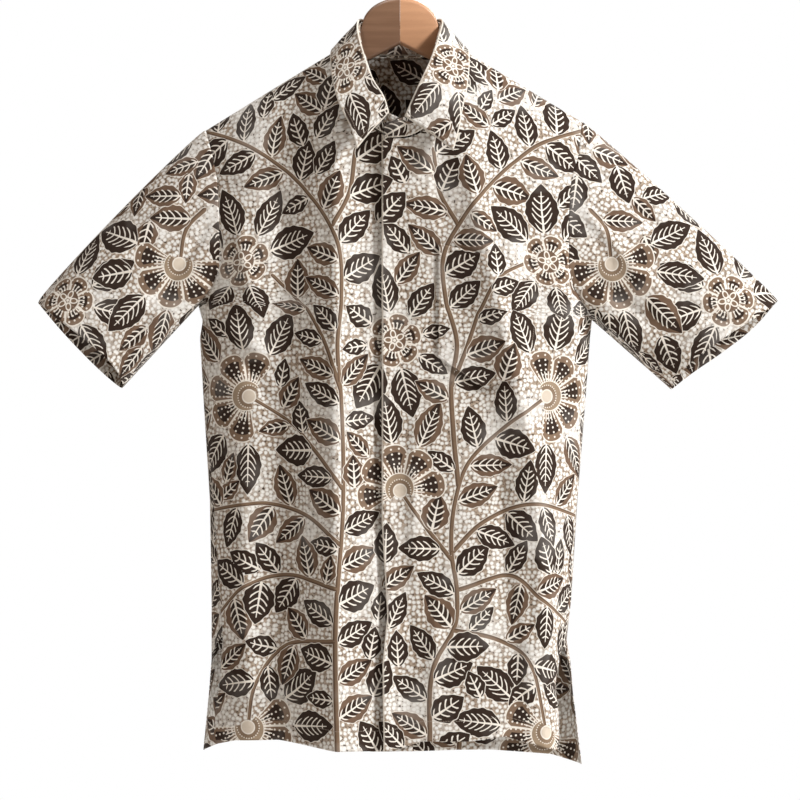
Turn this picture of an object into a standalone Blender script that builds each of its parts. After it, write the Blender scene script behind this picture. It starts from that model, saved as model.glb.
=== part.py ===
"""Short-sleeved batik shirt on a contoured wooden hanger.

Metres, +Z up, the front faces -Y. The origin is the inner crown of the hanger's hook.
Every cloth panel is a sheet lofted through sections and given a wall. Tables are in millimetres.
"""

import bpy
import numpy as np

MM = 0.001

# Cloth
WALL = 1.6  # wall of a cloth panel
# How far a panel's edge stays back from a seam line, by kind of seam
TRIM = 0.4
SHOULDER_TRIM = 0.6
ARMHOLE_TRIM = 0.1
FLATNESS = 2.6  # exponent of the body's sections, 2 is an ellipse

# Shoulder line, from the neck point to the shoulder point
NECK_X, NECK_Z = 70.0, -124.5
SHOULDER_X = {-1: 216.0, 1: 200.0}  # wearer's right is -1, wearer's left is 1
SHOULDER_SLOPE = 0.60
RIDGE_BACK = 0.09  # the hanger's arms run back by this share of their reach
NECK_SHARE = 0.38  # share of a front panel's columns that end on the neckline
FRONT_NECK = (-52.0, -224.0)  # y and z of the neckline at centre front
BACK_NECK = (44.0, -130.0)

# Body sections. Columns: z, left, right, front depth, back depth, side seam's y,
# angle of the left side seam, angle of the right one (90 is the outermost point)
ARMPIT_Z = {-1: -404.0, 1: -420.0}
BODY = (
    (-100, -224, 213, 50, 60, 14, 90, 90),
    (-300, -224, 213, 50, 58, 14, 90, 90),
    (-404, -222, 213, 52, 54, 13, 90, 90),
    (-422, -217, 211, 52, 54, 13, 89, 90),
    (-440, -220, 209, 52, 54, 13, 88, 90),
    (-509, -216, 204, 54, 54, 12, 84, 88),
    (-619, -209, 195, 57, 55, 9, 76, 84),
    (-729, -207, 188, 60, 56, 7, 70, 78),
)
FRONT_LOW = (
    (-773, -207, 183, 62, 57, 6, 66, 75),
    (-824, -211, 175, 62, 58, 5, 66, 75),
    (-852, -215, 179, 62, 58, 5, 66, 75),
    (-900, -219, 180, 62, 58, 5, 66, 75),
)
BACK_LOW = (
    (-773, -207, 183, 62, 57, 6, 66, 75),
    (-795, -207, 187, 60, 57, 6, 88, 88),
    (-831, -210, 190, 58, 58, 8, 90, 90),
    (-862, -213, 194, 58, 58, 9, 90, 90),
    (-912, -218, 200, 58, 58, 10, 90, 90),
)

# Front armhole seam. Columns: z, x on the wearer's right, x on the wearer's left
ARMHOLE = (
    (-205, -216, 200),
    (-241, -206, 196),
    (-266, -201, 188),
    (-308, -198, 185),
    (-364, -198, 185),
    (-385, -206, 190),
    (-404, -222, 202),
    (-420, -222, 213),
)

# Hems. Columns: x, z
HEM_FRONT_RIGHT = ((-204, -885), (-134, -885), (-70, -895), (14, -894))
HEM_FRONT_LEFT = ((-20, -892), (3, -888), (24, -881), (77, -881), (115, -876), (174, -893))
HEM_BACK = ((-218, -895), (-202, -889), (-176, -885), (-136, -885), (-84, -893), (-31, -899),
            (22, -899), (101, -897), (167, -901), (201, -911))

# The covered placket's free edge on the wearer's left front. Columns: z, x, lift off the other front
PLACKET = (
    (-215, -20, 0.0),
    (-640, -20, 1.0),
    (-742, -14, 6.0),
    (-795, -19, 7.0),
    (-895, -18, 6.0),
)
UNDERLAP_X = 14.0  # free edge of the wearer's right front, under the placket
LAP_STEP = 2.6  # how far the upper layer stands in front of the lower one
LAP_RAMP = (18.0, 44.0)  # x where the step is whole, and where it is gone
PLACKET_CURL = 16.0  # half width of the placket's lifted edge

# Large folds. Columns: x at chest, waist and hem, height at chest, waist and hem, half width
FOLD_LEVELS = (-250, -560, -880)
FOLD_FADE = 0.12  # share of the panel over which folds die out towards a side seam
FOLD_START = 0.5  # share of the height above the armpit over which they begin
FRONT_FOLDS = (
    (-69, -70, -69, 3, 8, 10, 24),
    (-128, -128, -126, -3, -6, -8, 30),
    (80, 146, 168, 4, 10, 9, 26),
    (40, 62, 76, -2, -6, -7, 28),
)
BACK_FOLDS = (
    (-96, -108, -118, 1, 6, 9, 30),
    (-24, -30, -30, -1, -5, -8, 28),
    (62, 58, 66, 1, 6, 9, 30),
)

# Rows of the body above the armpit, as shares of the height there, close together at the shoulder
UPPER_ROWS = (0, 0.006, 0.025, 0.06, 0.12, 0.2, 0.3, 0.42, 0.55, 0.68, 0.79, 0.88, 0.95, 1)

# Sleeves. The hem's top corner and lower corner (x, z), half depth, y of its middle,
# how far its front edge is drawn up, how far its back edge hangs down, rise of its top line,
# and where along the back edge it hangs lowest, with the width of that
SLEEVE_HEM = {
    -1: ((-398, -401), (-306, -495), 50, 14, 11, 7, 8, 0.74, 0.2),
    1: ((416, -400), (300, -498), 40, 14, 11, 7, 5.5, 0.80, 0.11),
}
TOP_PLUMP = 0.45  # exponent of the sleeve's top line, below 1 it is full all the way
SLEEVE_GAP = 0.75  # between the armhole seam and the sleeve
ARMPIT_GAP = 4.2  # added at the armpit's sharp turn

# Collar. Columns of each curve from centre front to centre back: x, y, z
FOLD_RIGHT = ((-12, -58, -197), (-17, -56, -180), (-28, -49, -162), (-38, -37, -135), (-46, -18, -104),
              (-45, 4, -92), (-36, 28, -90), (0, 45, -90))
FOLD_LEFT = ((5, -60, -201), (14, -56, -180), (24, -49, -158), (33, -37, -138), (42, -18, -111),
             (46, 4, -92), (36, 28, -90), (0, 45, -90))
EDGE_RIGHT = ((-47, -65, -235), (-54, -62, -212), (-65, -54, -190), (-73, -38, -163), (-76, -14, -132),
              (-73, 14, -122), (-52, 46, -126), (0, 62, -131))
EDGE_LEFT = ((58, -65, -237), (64, -61, -216), (68, -54, -194), (74, -38, -164), (76, -14, -133),
             (73, 14, -122), (52, 46, -126), (0, 62, -131))
STAND_BELOW_FOLD = 2.4
STAND_INSIDE = 1.9
STAND_ABOVE_NECK = 2.2
# The stand's under end and upper end at centre front, each its foot and its top
STAND_ENDS = (((8, -49, -220), (7, -52, -205)), ((-17, -57, -223), (-17, -61, -208)))

# Chest pocket on the wearer's left: its upper corners and its foot, x and z
POCKET_TOP = ((42, -338), (158, -366))
POCKET_FOOT = ((41, -462), (90, -496), (140, -484))
POCKET_OFF = 2.9

# Hanger. Columns: x, z of the top, z of the underside, thickness
ARM = (
    (0, -66, -118, 11),
    (16, -69, -126, 11),
    (32, -78, -134, 11),
    (38.5, -86, -137, 11),
    (43, -99, -140, 11),
    (56, -118, -148, 11),
    (76, -133, -158, 11),
    (120, -159, -182, 10.5),
    (165, -186, -208, 9),
    (190, -201, -222, 8),
    (198, -208, -223, 6.5),
)
ARM_EDGE = 5.0  # radius of its long edges, less where it is thin
CENTRE_GAP = 0.2  # half the joint between the two arms
HOOK_WIRE = 4.0
HOOK_PATH = ((0, -65.6), (0, -56), (1, -47), (8, -39), (16, -31), (20, -18), (14, -3.9), (0, 2),
             (-14, -3.9), (-20, -18), (-17.5, -27))

COLOURS = {
    "cloth": (0.62, 0.57, 0.50, 1.0),
    "arm_right": (0.42, 0.25, 0.14, 1.0),
    "arm_left": (0.55, 0.33, 0.18, 1.0),
    "steel": (0.60, 0.60, 0.60, 1.0),
}


def clear():
    for o in list(bpy.data.objects):
        bpy.data.objects.remove(o)


def material(name, colour, roughness, metallic=0.0):
    m = bpy.data.materials.new(name)
    m.use_nodes = True
    shader = m.node_tree.nodes["Principled BSDF"]
    shader.inputs["Base Color"].default_value = colour
    shader.inputs["Roughness"].default_value = roughness
    shader.inputs["Metallic"].default_value = metallic
    return m


def column(table, value, k):
    """Column k of a table whose first column falls, read at a value."""
    rows = np.array(table, float)
    return np.interp(-np.asarray(value, float), -rows[:, 0], rows[:, k])


def curve(points, t):
    """A smooth curve through points (Catmull-Rom), t from 0 to 1 by the points' chord lengths."""
    p = np.array(points, float)
    step = np.linalg.norm(np.diff(p, axis=0), axis=1)
    at = np.concatenate([[0], np.cumsum(step)]) / step.sum()
    slope = np.gradient(p, at, axis=0)
    t = np.clip(np.asarray(t, float), 0, 1)
    i = np.clip(np.searchsorted(at, t, side="right") - 1, 0, len(at) - 2)
    span = (at[i + 1] - at[i])[:, None]
    s = ((t - at[i])[:, None]) / span
    a = 2 * s**3 - 3 * s**2 + 1
    b = s**3 - 2 * s**2 + s
    return a * p[i] + b * span * slope[i] + (1 - a) * p[i + 1] + (s**3 - s**2) * span * slope[i + 1]


def ring(table, z, angle):
    """A point on the body's section at height z. Angle 0 is centre front, 90 the wearer's left side."""
    left, right, front, back, side = (column(table, z, k) for k in (1, 2, 3, 4, 5))
    a = np.radians(angle)
    across = np.sign(np.sin(a)) * np.abs(np.sin(a)) ** (2 / FLATNESS)
    along = np.sign(np.cos(a)) * np.abs(np.cos(a)) ** (2 / FLATNESS)
    x = (left + right) / 2 + (right - left) / 2 * across
    y = side - np.where(along > 0, (front + side) * along, (back - side) * along)
    return np.stack([x, y, z + 0 * x], axis=-1)


def even_angles(table, z, start, end, u):
    """Angles from start to end, evenly spaced along the section's length."""
    fine = np.linspace(start, end, 161)
    p = ring(table, np.full(161, float(z)), fine)
    at = np.concatenate([[0], np.cumsum(np.linalg.norm(np.diff(p, axis=0), axis=1))])
    return np.interp(u, at / at[-1], fine)


def folds(table, x, z):
    """Height of the large folds off the panel."""
    total = np.zeros_like(x)
    levels = -np.array(FOLD_LEVELS, float)
    for x1, x2, x3, h1, h2, h3, width in table:
        middle = np.interp(-z, levels, (x1, x2, x3))
        height = np.interp(-z, levels, (h1, h2, h3))
        total += height * np.exp(-(((x - middle) / width) ** 2))
    return total


def shoulder(side, share):
    """The shoulder line from the neck point (0) to the shoulder point (1)."""
    x = NECK_X + (SHOULDER_X[side] - NECK_X) * share
    z = NECK_Z - SHOULDER_SLOPE * (x - NECK_X)
    return np.stack([side * x, RIDGE_BACK * x, z], axis=-1)


def neckline(side, share, centre):
    """The neckline from the body's centre (0) to the neck point (1)."""
    a = np.radians(90) * share
    y, z = centre
    point = shoulder(side, np.zeros_like(share))
    bend = np.cos(a) ** 1.3
    return np.stack(
        [
            side * NECK_X * np.sin(a),
            point[:, 1] + (y - point[:, 1]) * np.cos(a) ** 0.9,
            point[:, 2] + (z - point[:, 2]) * bend,
        ],
        axis=-1,
    )


def top_edge(u, centre):
    """A panel's upper edge: the neckline, then the shoulder line on both sides. u from -1 to 1."""
    out = np.zeros((len(u), 3))
    for side in (-1, 1):
        on = (u * side >= 0) if side > 0 else (u < 0)
        share = np.abs(u[on])
        neck = neckline(side, np.clip(share / NECK_SHARE, 0, 1), centre)
        run = shoulder(side, np.clip((share - NECK_SHARE) / (1 - NECK_SHARE), 0, 1))
        out[on] = np.where((share < NECK_SHARE)[:, None], neck, run)
    return out


def armhole_angle(side, z, table):
    """The section's angle at which the armhole seam lies."""
    x = column(ARMHOLE, z, 1 if side < 0 else 2)
    left, right = column(table, z, 1), column(table, z, 2)
    share = np.abs((x - (left + right) / 2) / ((right - left) / 2))
    return np.degrees(np.arcsin(np.clip(share, 0, 1) ** (FLATNESS / 2)))


def upper(u, v, front):
    """The body from its upper edge (v 0) to the armpit (v 1)."""
    table = BODY + (FRONT_LOW if front else BACK_LOW)
    top = top_edge(u, FRONT_NECK if front else BACK_NECK)
    foot = np.interp(u, (-1, 1), (ARMPIT_Z[-1], ARMPIT_Z[1]))
    z = top[:, 2] + (foot - top[:, 2]) * v
    ends, seam_x = [], {}
    for side in (-1, 1):
        end_top = shoulder(side, np.array([1.0]))[0, 2]
        end_z = end_top + (ARMPIT_Z[side] - end_top) * v
        seam_x[side] = float(column(ARMHOLE, end_z, 1 if side < 0 else 2))
        ends.append(float(armhole_angle(side, end_z, table)))
    left, right = (-ends[0], ends[1]) if front else (-180 + ends[0], -180 - ends[1])
    angle = even_angles(table, float(np.mean(z)), left, right, (u + 1) / 2)
    p = ring(table, z, angle)
    round_off = np.sqrt(1 - (1 - v) ** 2)
    x = top[:, 0] + (p[:, 0] - top[:, 0]) * v * (2 - v)
    for side in (-1, 1):
        end_x = shoulder(side, np.array([1.0]))[0, 0]
        miss = (seam_x[side] - end_x) * (1 - v * (2 - v))
        x += miss * np.clip(u * side, 0, 1) ** 3
    y = top[:, 1] + (p[:, 1] - top[:, 1]) * round_off
    return np.stack([x, y, z], axis=1)


def lower(u, v, front, hem):
    """The body from the armpit (v 0) to the hem (v 1)."""
    table = BODY + (FRONT_LOW if front else BACK_LOW)
    foot = np.interp(u, (-1, 1), (ARMPIT_Z[-1], ARMPIT_Z[1]))
    level = float(np.mean(foot)) + (-893 - float(np.mean(foot))) * v
    left, right = -column(table, level, 6), column(table, level, 7)
    if v == 0:
        left, right = -90, 90
    if not front:
        right -= 360
    angle = even_angles(table, level, left, right, (u + 1) / 2)
    x = ring(table, np.full(len(u), level), angle)[:, 0]
    rows = np.array(hem, float)
    z = foot + (np.interp(x, rows[:, 0], rows[:, 1]) - foot) * v
    return ring(table, z, angle)


def body_row(v, u, front, hem):
    """One row of the body, v from 0 at the top to 2 at the hem, with the large folds."""
    p = upper(u, v, front) if v < 1 else lower(u, v - 1, front, hem)
    fade = np.clip((1 - np.abs(u)) / FOLD_FADE, 0, 1) * np.clip(v / FOLD_START, 0, 1)
    lift = folds(FRONT_FOLDS if front else BACK_FOLDS, p[:, 0], p[:, 2]) * fade
    p[:, 1] += -lift if front else lift
    return p


def rows_of(lower_rows):
    """Row positions from the top, those above the armpit as tabled."""
    return np.concatenate([UPPER_ROWS, 1 + np.arange(1, lower_rows + 1) / lower_rows])


def resample(p, count):
    """The row again with evenly spaced points."""
    at = np.concatenate([[0], np.cumsum(np.linalg.norm(np.diff(p, axis=0), axis=1))])
    t = np.linspace(0, at[-1], count)
    return np.stack([np.interp(t, at, p[:, k]) for k in range(3)], axis=1)


def lap(x):
    """How far the wearer's left front stands in front of the body's surface."""
    return LAP_STEP * np.clip((LAP_RAMP[1] - x) / (LAP_RAMP[1] - LAP_RAMP[0]), 0, 1)


def front_panel(side, columns, lower_rows):
    """Wearer's right (-1) or left (1) front, between its free edge and its side seam."""
    hem = HEM_FRONT_RIGHT if side < 0 else HEM_FRONT_LEFT
    grid = []
    for v in rows_of(lower_rows):
        u = np.linspace(-1, 1, 241)
        p = body_row(v, u, True, hem)
        middle = float(np.interp(0, u, p[:, 2]))
        edge = UNDERLAP_X if side < 0 else float(column(PLACKET, middle, 1))
        share = float(np.interp(edge, p[:, 0], u))
        u = np.linspace(share, side, 161)
        p = body_row(v, u, True, hem)
        if side > 0:
            lift = column(PLACKET, p[:, 2], 2) * np.exp(-(((p[:, 0] - edge) / PLACKET_CURL) ** 2))
            p[:, 1] -= lift + lap(p[:, 0])
        grid.append(resample(p, columns + 1))
    return np.array(grid)


def back_panel(columns, lower_rows):
    u = np.linspace(-1, 1, columns + 1)
    return np.array([body_row(v, u, False, HEM_BACK) for v in rows_of(lower_rows)])


def trimmed(grid, edges):
    """Moves a panel's upper edge inward, and its first or last column (0, -1) below the armpit."""
    g = grid.copy()
    step = g[1] - g[0]
    g[0] += step / np.linalg.norm(step, axis=1)[:, None] * SHOULDER_TRIM
    amount = np.full(len(g), TRIM)
    amount[: len(UPPER_ROWS) - 2] = ARMHOLE_TRIM
    for edge in edges:
        step = g[:, 1 if edge == 0 else -2] - g[:, edge]
        g[:, edge] += step / np.linalg.norm(step, axis=1)[:, None] * amount[:, None]
    return g


def armhole_loop(side):
    """The armhole seam from the shoulder point down the front and up the back, and each point's turn."""
    u = np.array([float(side)])
    points, turns = [], []
    for front in (True, False):
        half = np.array([upper(u, v, front)[0] for v in UPPER_ROWS])
        at = np.concatenate([[0], np.cumsum(np.linalg.norm(np.diff(half, axis=0), axis=1))])
        share = at / at[-1] / 2
        points.append(half[:-1] if front else half[::-1][:-1])
        turns.append(share[:-1] if front else (1 - share)[::-1][:-1])
    return np.concatenate(points), np.concatenate(turns)


def sleeve_hem_loop(side, turn):
    """The sleeve's hem, in step with the armhole's loop."""
    top, low, deep, middle_y, drawn, dropped, _, lowest, width = SLEEVE_HEM[side]
    top, low = np.array(top, float), np.array(low, float)
    a = 2 * np.pi * turn
    share = (1 - np.sign(np.cos(a)) * np.abs(np.cos(a)) ** 0.85) / 2
    xz = top + (low - top) * share[:, None]
    y = middle_y - deep * np.sign(np.sin(a)) * np.abs(np.sin(a)) ** 0.85
    outward = np.array([low[1] - top[1], -(low[0] - top[0])]) * -side
    outward /= np.linalg.norm(outward)
    hang = dropped * np.exp(-(((turn - lowest) / width) ** 2)) * (turn > 0.5)
    hang -= drawn * np.exp(-(((turn - 0.32) / 0.13) ** 2))
    xz += outward * hang[:, None]
    return np.stack([xz[:, 0], y, xz[:, 1]], axis=1)


def sleeve_grid(side, along):
    start, turn = armhole_loop(side)
    end = sleeve_hem_loop(side, turn)
    along_seam = np.roll(start, -1, axis=0) - np.roll(start, 1, axis=0)
    along_seam /= np.linalg.norm(along_seam, axis=1)[:, None]
    way = end - start
    way -= along_seam * np.sum(way * along_seam, axis=1)[:, None]
    gap = SLEEVE_GAP + ARMPIT_GAP * np.exp(-(((turn - 0.5) / 0.085) ** 2))
    start = start + way / np.linalg.norm(way, axis=1)[:, None] * gap[:, None]
    rows = []
    for w in np.linspace(0, 1, along + 1):
        p = start + (end - start) * w
        plump = SLEEVE_HEM[side][6] * np.sin(np.pi * w) ** TOP_PLUMP if 0 < w < 1 else 0.0
        p[:, 2] += plump * np.clip(np.cos(2 * np.pi * turn), 0, 1) ** 2
        rows.append(p)
    return np.array(rows)


def collar_grid(columns, rows):
    """The collar's fall, from the fold line to its outer edge, wearer's right tip to left tip."""
    half = np.linspace(0, 1, columns // 2 + 1)
    fold = np.concatenate([curve(FOLD_RIGHT, half), curve(FOLD_LEFT, half)[::-1][1:]])
    edge = np.concatenate([curve(EDGE_RIGHT, half), curve(EDGE_LEFT, half)[::-1][1:]])
    away = edge - fold
    out = []
    for w in np.linspace(0, 1, rows + 1):
        p = fold + away * w
        p[:, 2] += 2 * np.sin(np.pi * w)
        out.append(p)
    return np.array(out)


def stand_grid(columns, rows):
    """The collar's stand, from its under end round the back to its upper end at centre front."""
    half = np.linspace(0, 1, columns // 2 + 1)
    top = np.concatenate([curve(FOLD_RIGHT, half), curve(FOLD_LEFT, half)[::-1][1:]])
    foot = []
    for side in (-1, 1):
        share = np.linspace(0, 1, 61)
        front = neckline(side, share, FRONT_NECK)
        back = neckline(side, share, BACK_NECK)[::-1]
        both = resample(np.concatenate([front, back[1:]]), columns // 2 + 1)
        foot.append(both if side < 0 else both[::-1][1:])
    foot = np.concatenate(foot)
    inward = -top
    inward[:, 2] = 0
    top += inward / np.linalg.norm(inward, axis=1)[:, None] * STAND_INSIDE
    top[:, 2] -= STAND_BELOW_FOLD
    rise = top - foot
    foot += rise / np.linalg.norm(rise, axis=1)[:, None] * STAND_ABOVE_NECK
    ends = np.array(STAND_ENDS, float)
    foot = np.concatenate([ends[0][:1], foot[1:-1], ends[1][:1]])
    top = np.concatenate([ends[0][1:], top[1:-1], ends[1][1:]])
    return np.array([foot + (top - foot) * w for w in np.linspace(0, 1, rows + 1)])


def left_front_depth(x, z):
    """The y of the wearer's left front at places given by x and z."""
    u = np.linspace(-0.1, 0.9, 101)
    rows = [body_row(v, u, True, HEM_FRONT_LEFT) for v in np.linspace(0.3, 1.4, 45)]
    out = np.zeros_like(x)
    for k in np.ndindex(x.shape):
        level = [float(np.interp(x[k], p[:, 0], p[:, 2])) for p in rows]
        depth = [float(np.interp(x[k], p[:, 0], p[:, 1])) for p in rows]
        out[k] = np.interp(-z[k], -np.array(level), depth)
    return out - lap(x)


def pocket_grid(columns, rows):
    """The pocket, laid on the wearer's left front and moved out."""
    across = np.linspace(0, 1, columns + 1)[None, :]
    down = np.linspace(0, 1, rows + 1)[:, None]
    (x0, z0), (x1, z1) = POCKET_TOP
    foot = np.array(POCKET_FOOT, float)
    foot_x = np.interp(across, (0, 0.5, 1), foot[:, 0])
    foot_z = np.interp(across, (0, 0.5, 1), foot[:, 1])
    x = x0 + (x1 - x0) * across
    z = z0 + (z1 - z0) * across
    x = x + (foot_x - x) * down
    z = z + (foot_z - z) * down
    y = left_front_depth(x, z) - POCKET_OFF
    return np.stack([x, y, z], axis=-1)


def sheet(name, grid, look, closed=False):
    """A cloth panel: the grid's faces, then a wall."""
    rows, columns = grid.shape[:2]
    faces = []
    for r in range(rows - 1):
        for c in range(columns if closed else columns - 1):
            d = (c + 1) % columns
            faces.append((r * columns + c, r * columns + d, (r + 1) * columns + d, (r + 1) * columns + c))
    mesh = bpy.data.meshes.new(name)
    mesh.from_pydata((grid.reshape(-1, 3) * MM).tolist(), [], faces)
    mesh.shade_smooth()
    o = bpy.data.objects.new(name, mesh)
    bpy.context.collection.objects.link(o)
    o.data.materials.append(look)
    wall = o.modifiers.new("wall", "SOLIDIFY")
    wall.thickness = WALL * MM
    wall.offset = 0
    return o


def arm_section(high, low, thick):
    """A rounded bar's section, y and z, 16 points."""
    edge = min(ARM_EDGE, thick / 2 - 0.4)
    half_y = thick / 2 - edge
    middle, half_z = (high + low) / 2, (high - low) / 2 - edge
    points = []
    for k in range(16):
        corner = k // 4
        a = np.radians(90 * corner + 30 * (k % 4))
        sy = (1, -1, -1, 1)[corner]
        sz = (1, 1, -1, -1)[corner]
        points.append((sy * half_y + edge * np.cos(a), middle + sz * half_z + edge * np.sin(a)))
    return points


def hanger_arm(name, side, look):
    table = np.array(ARM, float)
    stations = np.concatenate([np.linspace(CENTRE_GAP, 76, 12), np.linspace(92, 190, 7), [195, 198]])
    points = []
    for x in stations:
        high, low, thick = (np.interp(x, table[:, 0], table[:, k]) for k in (1, 2, 3))
        for y, z in arm_section(high, low, thick):
            points.append((side * x, RIDGE_BACK * x + y, z))
    faces = [tuple(range(16))]
    for s in range(len(stations) - 1):
        for k in range(16):
            n = (k + 1) % 16
            faces.append((s * 16 + k, (s + 1) * 16 + k, (s + 1) * 16 + n, s * 16 + n))
    last = (len(stations) - 1) * 16
    faces.append(tuple(last + k for k in reversed(range(16))))
    if side > 0:
        faces = [tuple(reversed(f)) for f in faces]
    mesh = bpy.data.meshes.new(name)
    mesh.from_pydata((np.array(points) * MM).tolist(), [], faces)
    mesh.shade_smooth()
    o = bpy.data.objects.new(name, mesh)
    bpy.context.collection.objects.link(o)
    o.data.materials.append(look)


def hook(look):
    path = curve(HOOK_PATH, np.linspace(0, 1, 34)) * MM
    wire = bpy.data.curves.new("hook", "CURVE")
    wire.dimensions = "3D"
    wire.bevel_depth = HOOK_WIRE / 2 * MM
    wire.bevel_resolution = 3
    wire.use_fill_caps = True
    line = wire.splines.new("POLY")
    line.points.add(len(path) - 1)
    for point, (x, z) in zip(line.points, path):
        point.co = (x, 0.0, z, 1.0)
    o = bpy.data.objects.new("hook", wire)
    bpy.context.collection.objects.link(o)
    o.data.materials.append(look)


def main():
    clear()
    cloth = material("batik cotton", COLOURS["cloth"], 0.85)
    sheet("front_right", trimmed(front_panel(-1, 16, 14), (-1,)), cloth)
    sheet("front_left", trimmed(front_panel(1, 16, 14), (-1,)), cloth)
    sheet("back", trimmed(back_panel(30, 14), (0, -1)), cloth)
    sheet("sleeve_right", sleeve_grid(-1, 9), cloth, closed=True)
    sheet("sleeve_left", sleeve_grid(1, 9), cloth, closed=True)
    sheet("collar", collar_grid(36, 4), cloth)
    sheet("collar_stand", stand_grid(36, 3), cloth)
    sheet("pocket", pocket_grid(8, 8), cloth)
    hanger_arm("hanger_right", -1, material("beech in shade", COLOURS["arm_right"], 0.45))
    hanger_arm("hanger_left", 1, material("beech", COLOURS["arm_left"], 0.45))
    hook(material("polished steel", COLOURS["steel"], 0.25, 1.0))


main()
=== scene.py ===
# Short-sleeved batik shirt on a wooden hanger: cut panels as thin shells, listed folds,
# sewing, and a leaf-and-vine batik drawn in the cloth's own flat coordinates.
# Lengths are in millimetres until a mesh is made. +X is the wearer's left, the front faces -Y.
import math

import bpy
import numpy as np
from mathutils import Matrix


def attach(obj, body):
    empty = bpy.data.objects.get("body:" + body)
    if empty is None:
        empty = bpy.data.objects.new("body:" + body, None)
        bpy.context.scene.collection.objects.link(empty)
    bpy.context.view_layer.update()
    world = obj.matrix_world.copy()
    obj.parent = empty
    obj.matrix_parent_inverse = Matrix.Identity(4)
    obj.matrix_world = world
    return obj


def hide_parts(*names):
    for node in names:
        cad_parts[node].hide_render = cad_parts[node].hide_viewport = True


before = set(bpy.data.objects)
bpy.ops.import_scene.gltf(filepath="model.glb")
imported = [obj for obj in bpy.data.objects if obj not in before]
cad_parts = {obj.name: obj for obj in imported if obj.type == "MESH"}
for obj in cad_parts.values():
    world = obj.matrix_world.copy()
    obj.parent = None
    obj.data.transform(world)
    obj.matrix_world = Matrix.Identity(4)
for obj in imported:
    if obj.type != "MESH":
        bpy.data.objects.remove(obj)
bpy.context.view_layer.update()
mm = 0.001

# the shirt as it hangs
shirt = {
    "clothThickness": 0.8,
    "collarThickness": 1.8,  # two layers with interlining
    "bodyFlatness": 2.6,  # exponent of the body's sections, 2 is an ellipse
    "neckX": 70.0,  # where neckline and shoulder meet
    "neckZ": -124.5,
    "shoulderX": {-1: 216.0, 1: 200.0},  # wearer's right is -1, wearer's left is 1
    "shoulderSlope": 0.60,
    "ridgeBack": 0.09,  # the arms of the hanger run back by this share of their reach
    "neckShare": 0.38,  # of the upper edge, the rest is shoulder
    "frontNeck": (-52.0, -224.0),  # y and z at the centre
    "backNeck": (44.0, -130.0),
    "armpitZ": {-1: -404.0, 1: -420.0},
    "meanHemZ": -893.0,
    "underlapX": 14.0,  # the right front runs under the placket to here
    "lapStep": 2.6,  # the left front stands off the right one by this
    "lapRamp": (18.0, 44.0),  # x where the step starts to fade, and where it is gone
    "lapStart": (205.0, 260.0),  # depth below the hook over which the step grows from a half
    "placketCurl": 16.0,  # width of the curl along the placket's edge
    "seamFade": 0.12,  # folds fade out over this share of a panel beside its seam
    "creaseStrength": 1.6,
    "rowCrowding": 1.5,  # exponent that draws the rows together at the neck
}
# points along the curves that the pieces are worked out from
fine = {"ring": 161, "armhole": 121, "row": 241, "cutRow": 201, "neck": 61}


def column(table, value, k):
    rows = np.array(table, float)
    return np.interp(-np.asarray(value, float), -rows[:, 0], rows[:, k])


def smoothCurve(points, t):
    # Catmull-Rom through the points, t from 0 to 1 by chord length
    p = np.array(points, float)
    step = np.linalg.norm(np.diff(p, axis=0), axis=1)
    at = np.concatenate([[0], np.cumsum(step)]) / step.sum()
    slope = np.gradient(p, at, axis=0)
    t = np.clip(np.asarray(t, float), 0, 1)
    i = np.clip(np.searchsorted(at, t, side="right") - 1, 0, len(at) - 2)
    span = (at[i + 1] - at[i])[:, None]
    s = (t - at[i])[:, None] / span
    a = 2 * s**3 - 3 * s**2 + 1
    b = s**3 - 2 * s**2 + s
    return a * p[i] + b * span * slope[i] + (1 - a) * p[i + 1] + (s**3 - s**2) * span * slope[i + 1]


def runLength(p):
    return np.concatenate([[0], np.cumsum(np.linalg.norm(np.diff(p, axis=0), axis=1))])


def resample(p, count):
    at = runLength(p)
    t = np.linspace(0, at[-1], count)
    return np.stack([np.interp(t, at, p[:, k]) for k in range(p.shape[1])], axis=1)


# z, left, right, front depth, back depth, side seam's y, angle of the left seam, of the right seam
bodySections = (
    (-100, -224, 213, 50, 60, 14, 90, 90),
    (-300, -224, 213, 50, 58, 14, 90, 90),
    (-404, -222, 213, 52, 54, 13, 90, 90),
    (-422, -217, 211, 52, 54, 13, 89, 90),
    (-440, -220, 209, 52, 54, 13, 88, 90),
    (-509, -216, 204, 54, 54, 12, 84, 88),
    (-619, -209, 195, 57, 55, 9, 76, 84),
    (-729, -207, 188, 60, 56, 7, 70, 78),
)
frontLowSections = (
    (-773, -207, 183, 62, 57, 6, 66, 75),
    (-824, -211, 175, 62, 58, 5, 66, 75),
    (-852, -215, 179, 62, 58, 5, 66, 75),
    (-900, -219, 180, 62, 58, 5, 66, 75),
)
backLowSections = (
    (-773, -207, 183, 62, 57, 6, 66, 75),
    (-795, -207, 187, 60, 57, 6, 88, 88),
    (-831, -210, 190, 58, 58, 8, 90, 90),
    (-862, -213, 194, 58, 58, 9, 90, 90),
    (-912, -218, 200, 58, 58, 10, 90, 90),
)


def bodyRing(table, z, angle):
    # angle 0 is centre front, 90 the wearer's left side
    left, right, front, back, side = (column(table, z, k) for k in (1, 2, 3, 4, 5))
    a = np.radians(angle)
    power = 2 / shirt["bodyFlatness"]
    across = np.sign(np.sin(a)) * np.abs(np.sin(a)) ** power
    along = np.sign(np.cos(a)) * np.abs(np.cos(a)) ** power
    x = (left + right) / 2 + (right - left) / 2 * across
    y = side - np.where(along > 0, (front + side) * along, (back - side) * along)
    return np.stack([x, y, z + 0 * x], axis=-1)


def evenAngles(table, z, start, end, u):
    angle = np.linspace(start, end, fine["ring"])
    at = runLength(bodyRing(table, np.full(len(angle), float(z)), angle))
    return np.interp(u, at / at[-1], angle)


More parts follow.
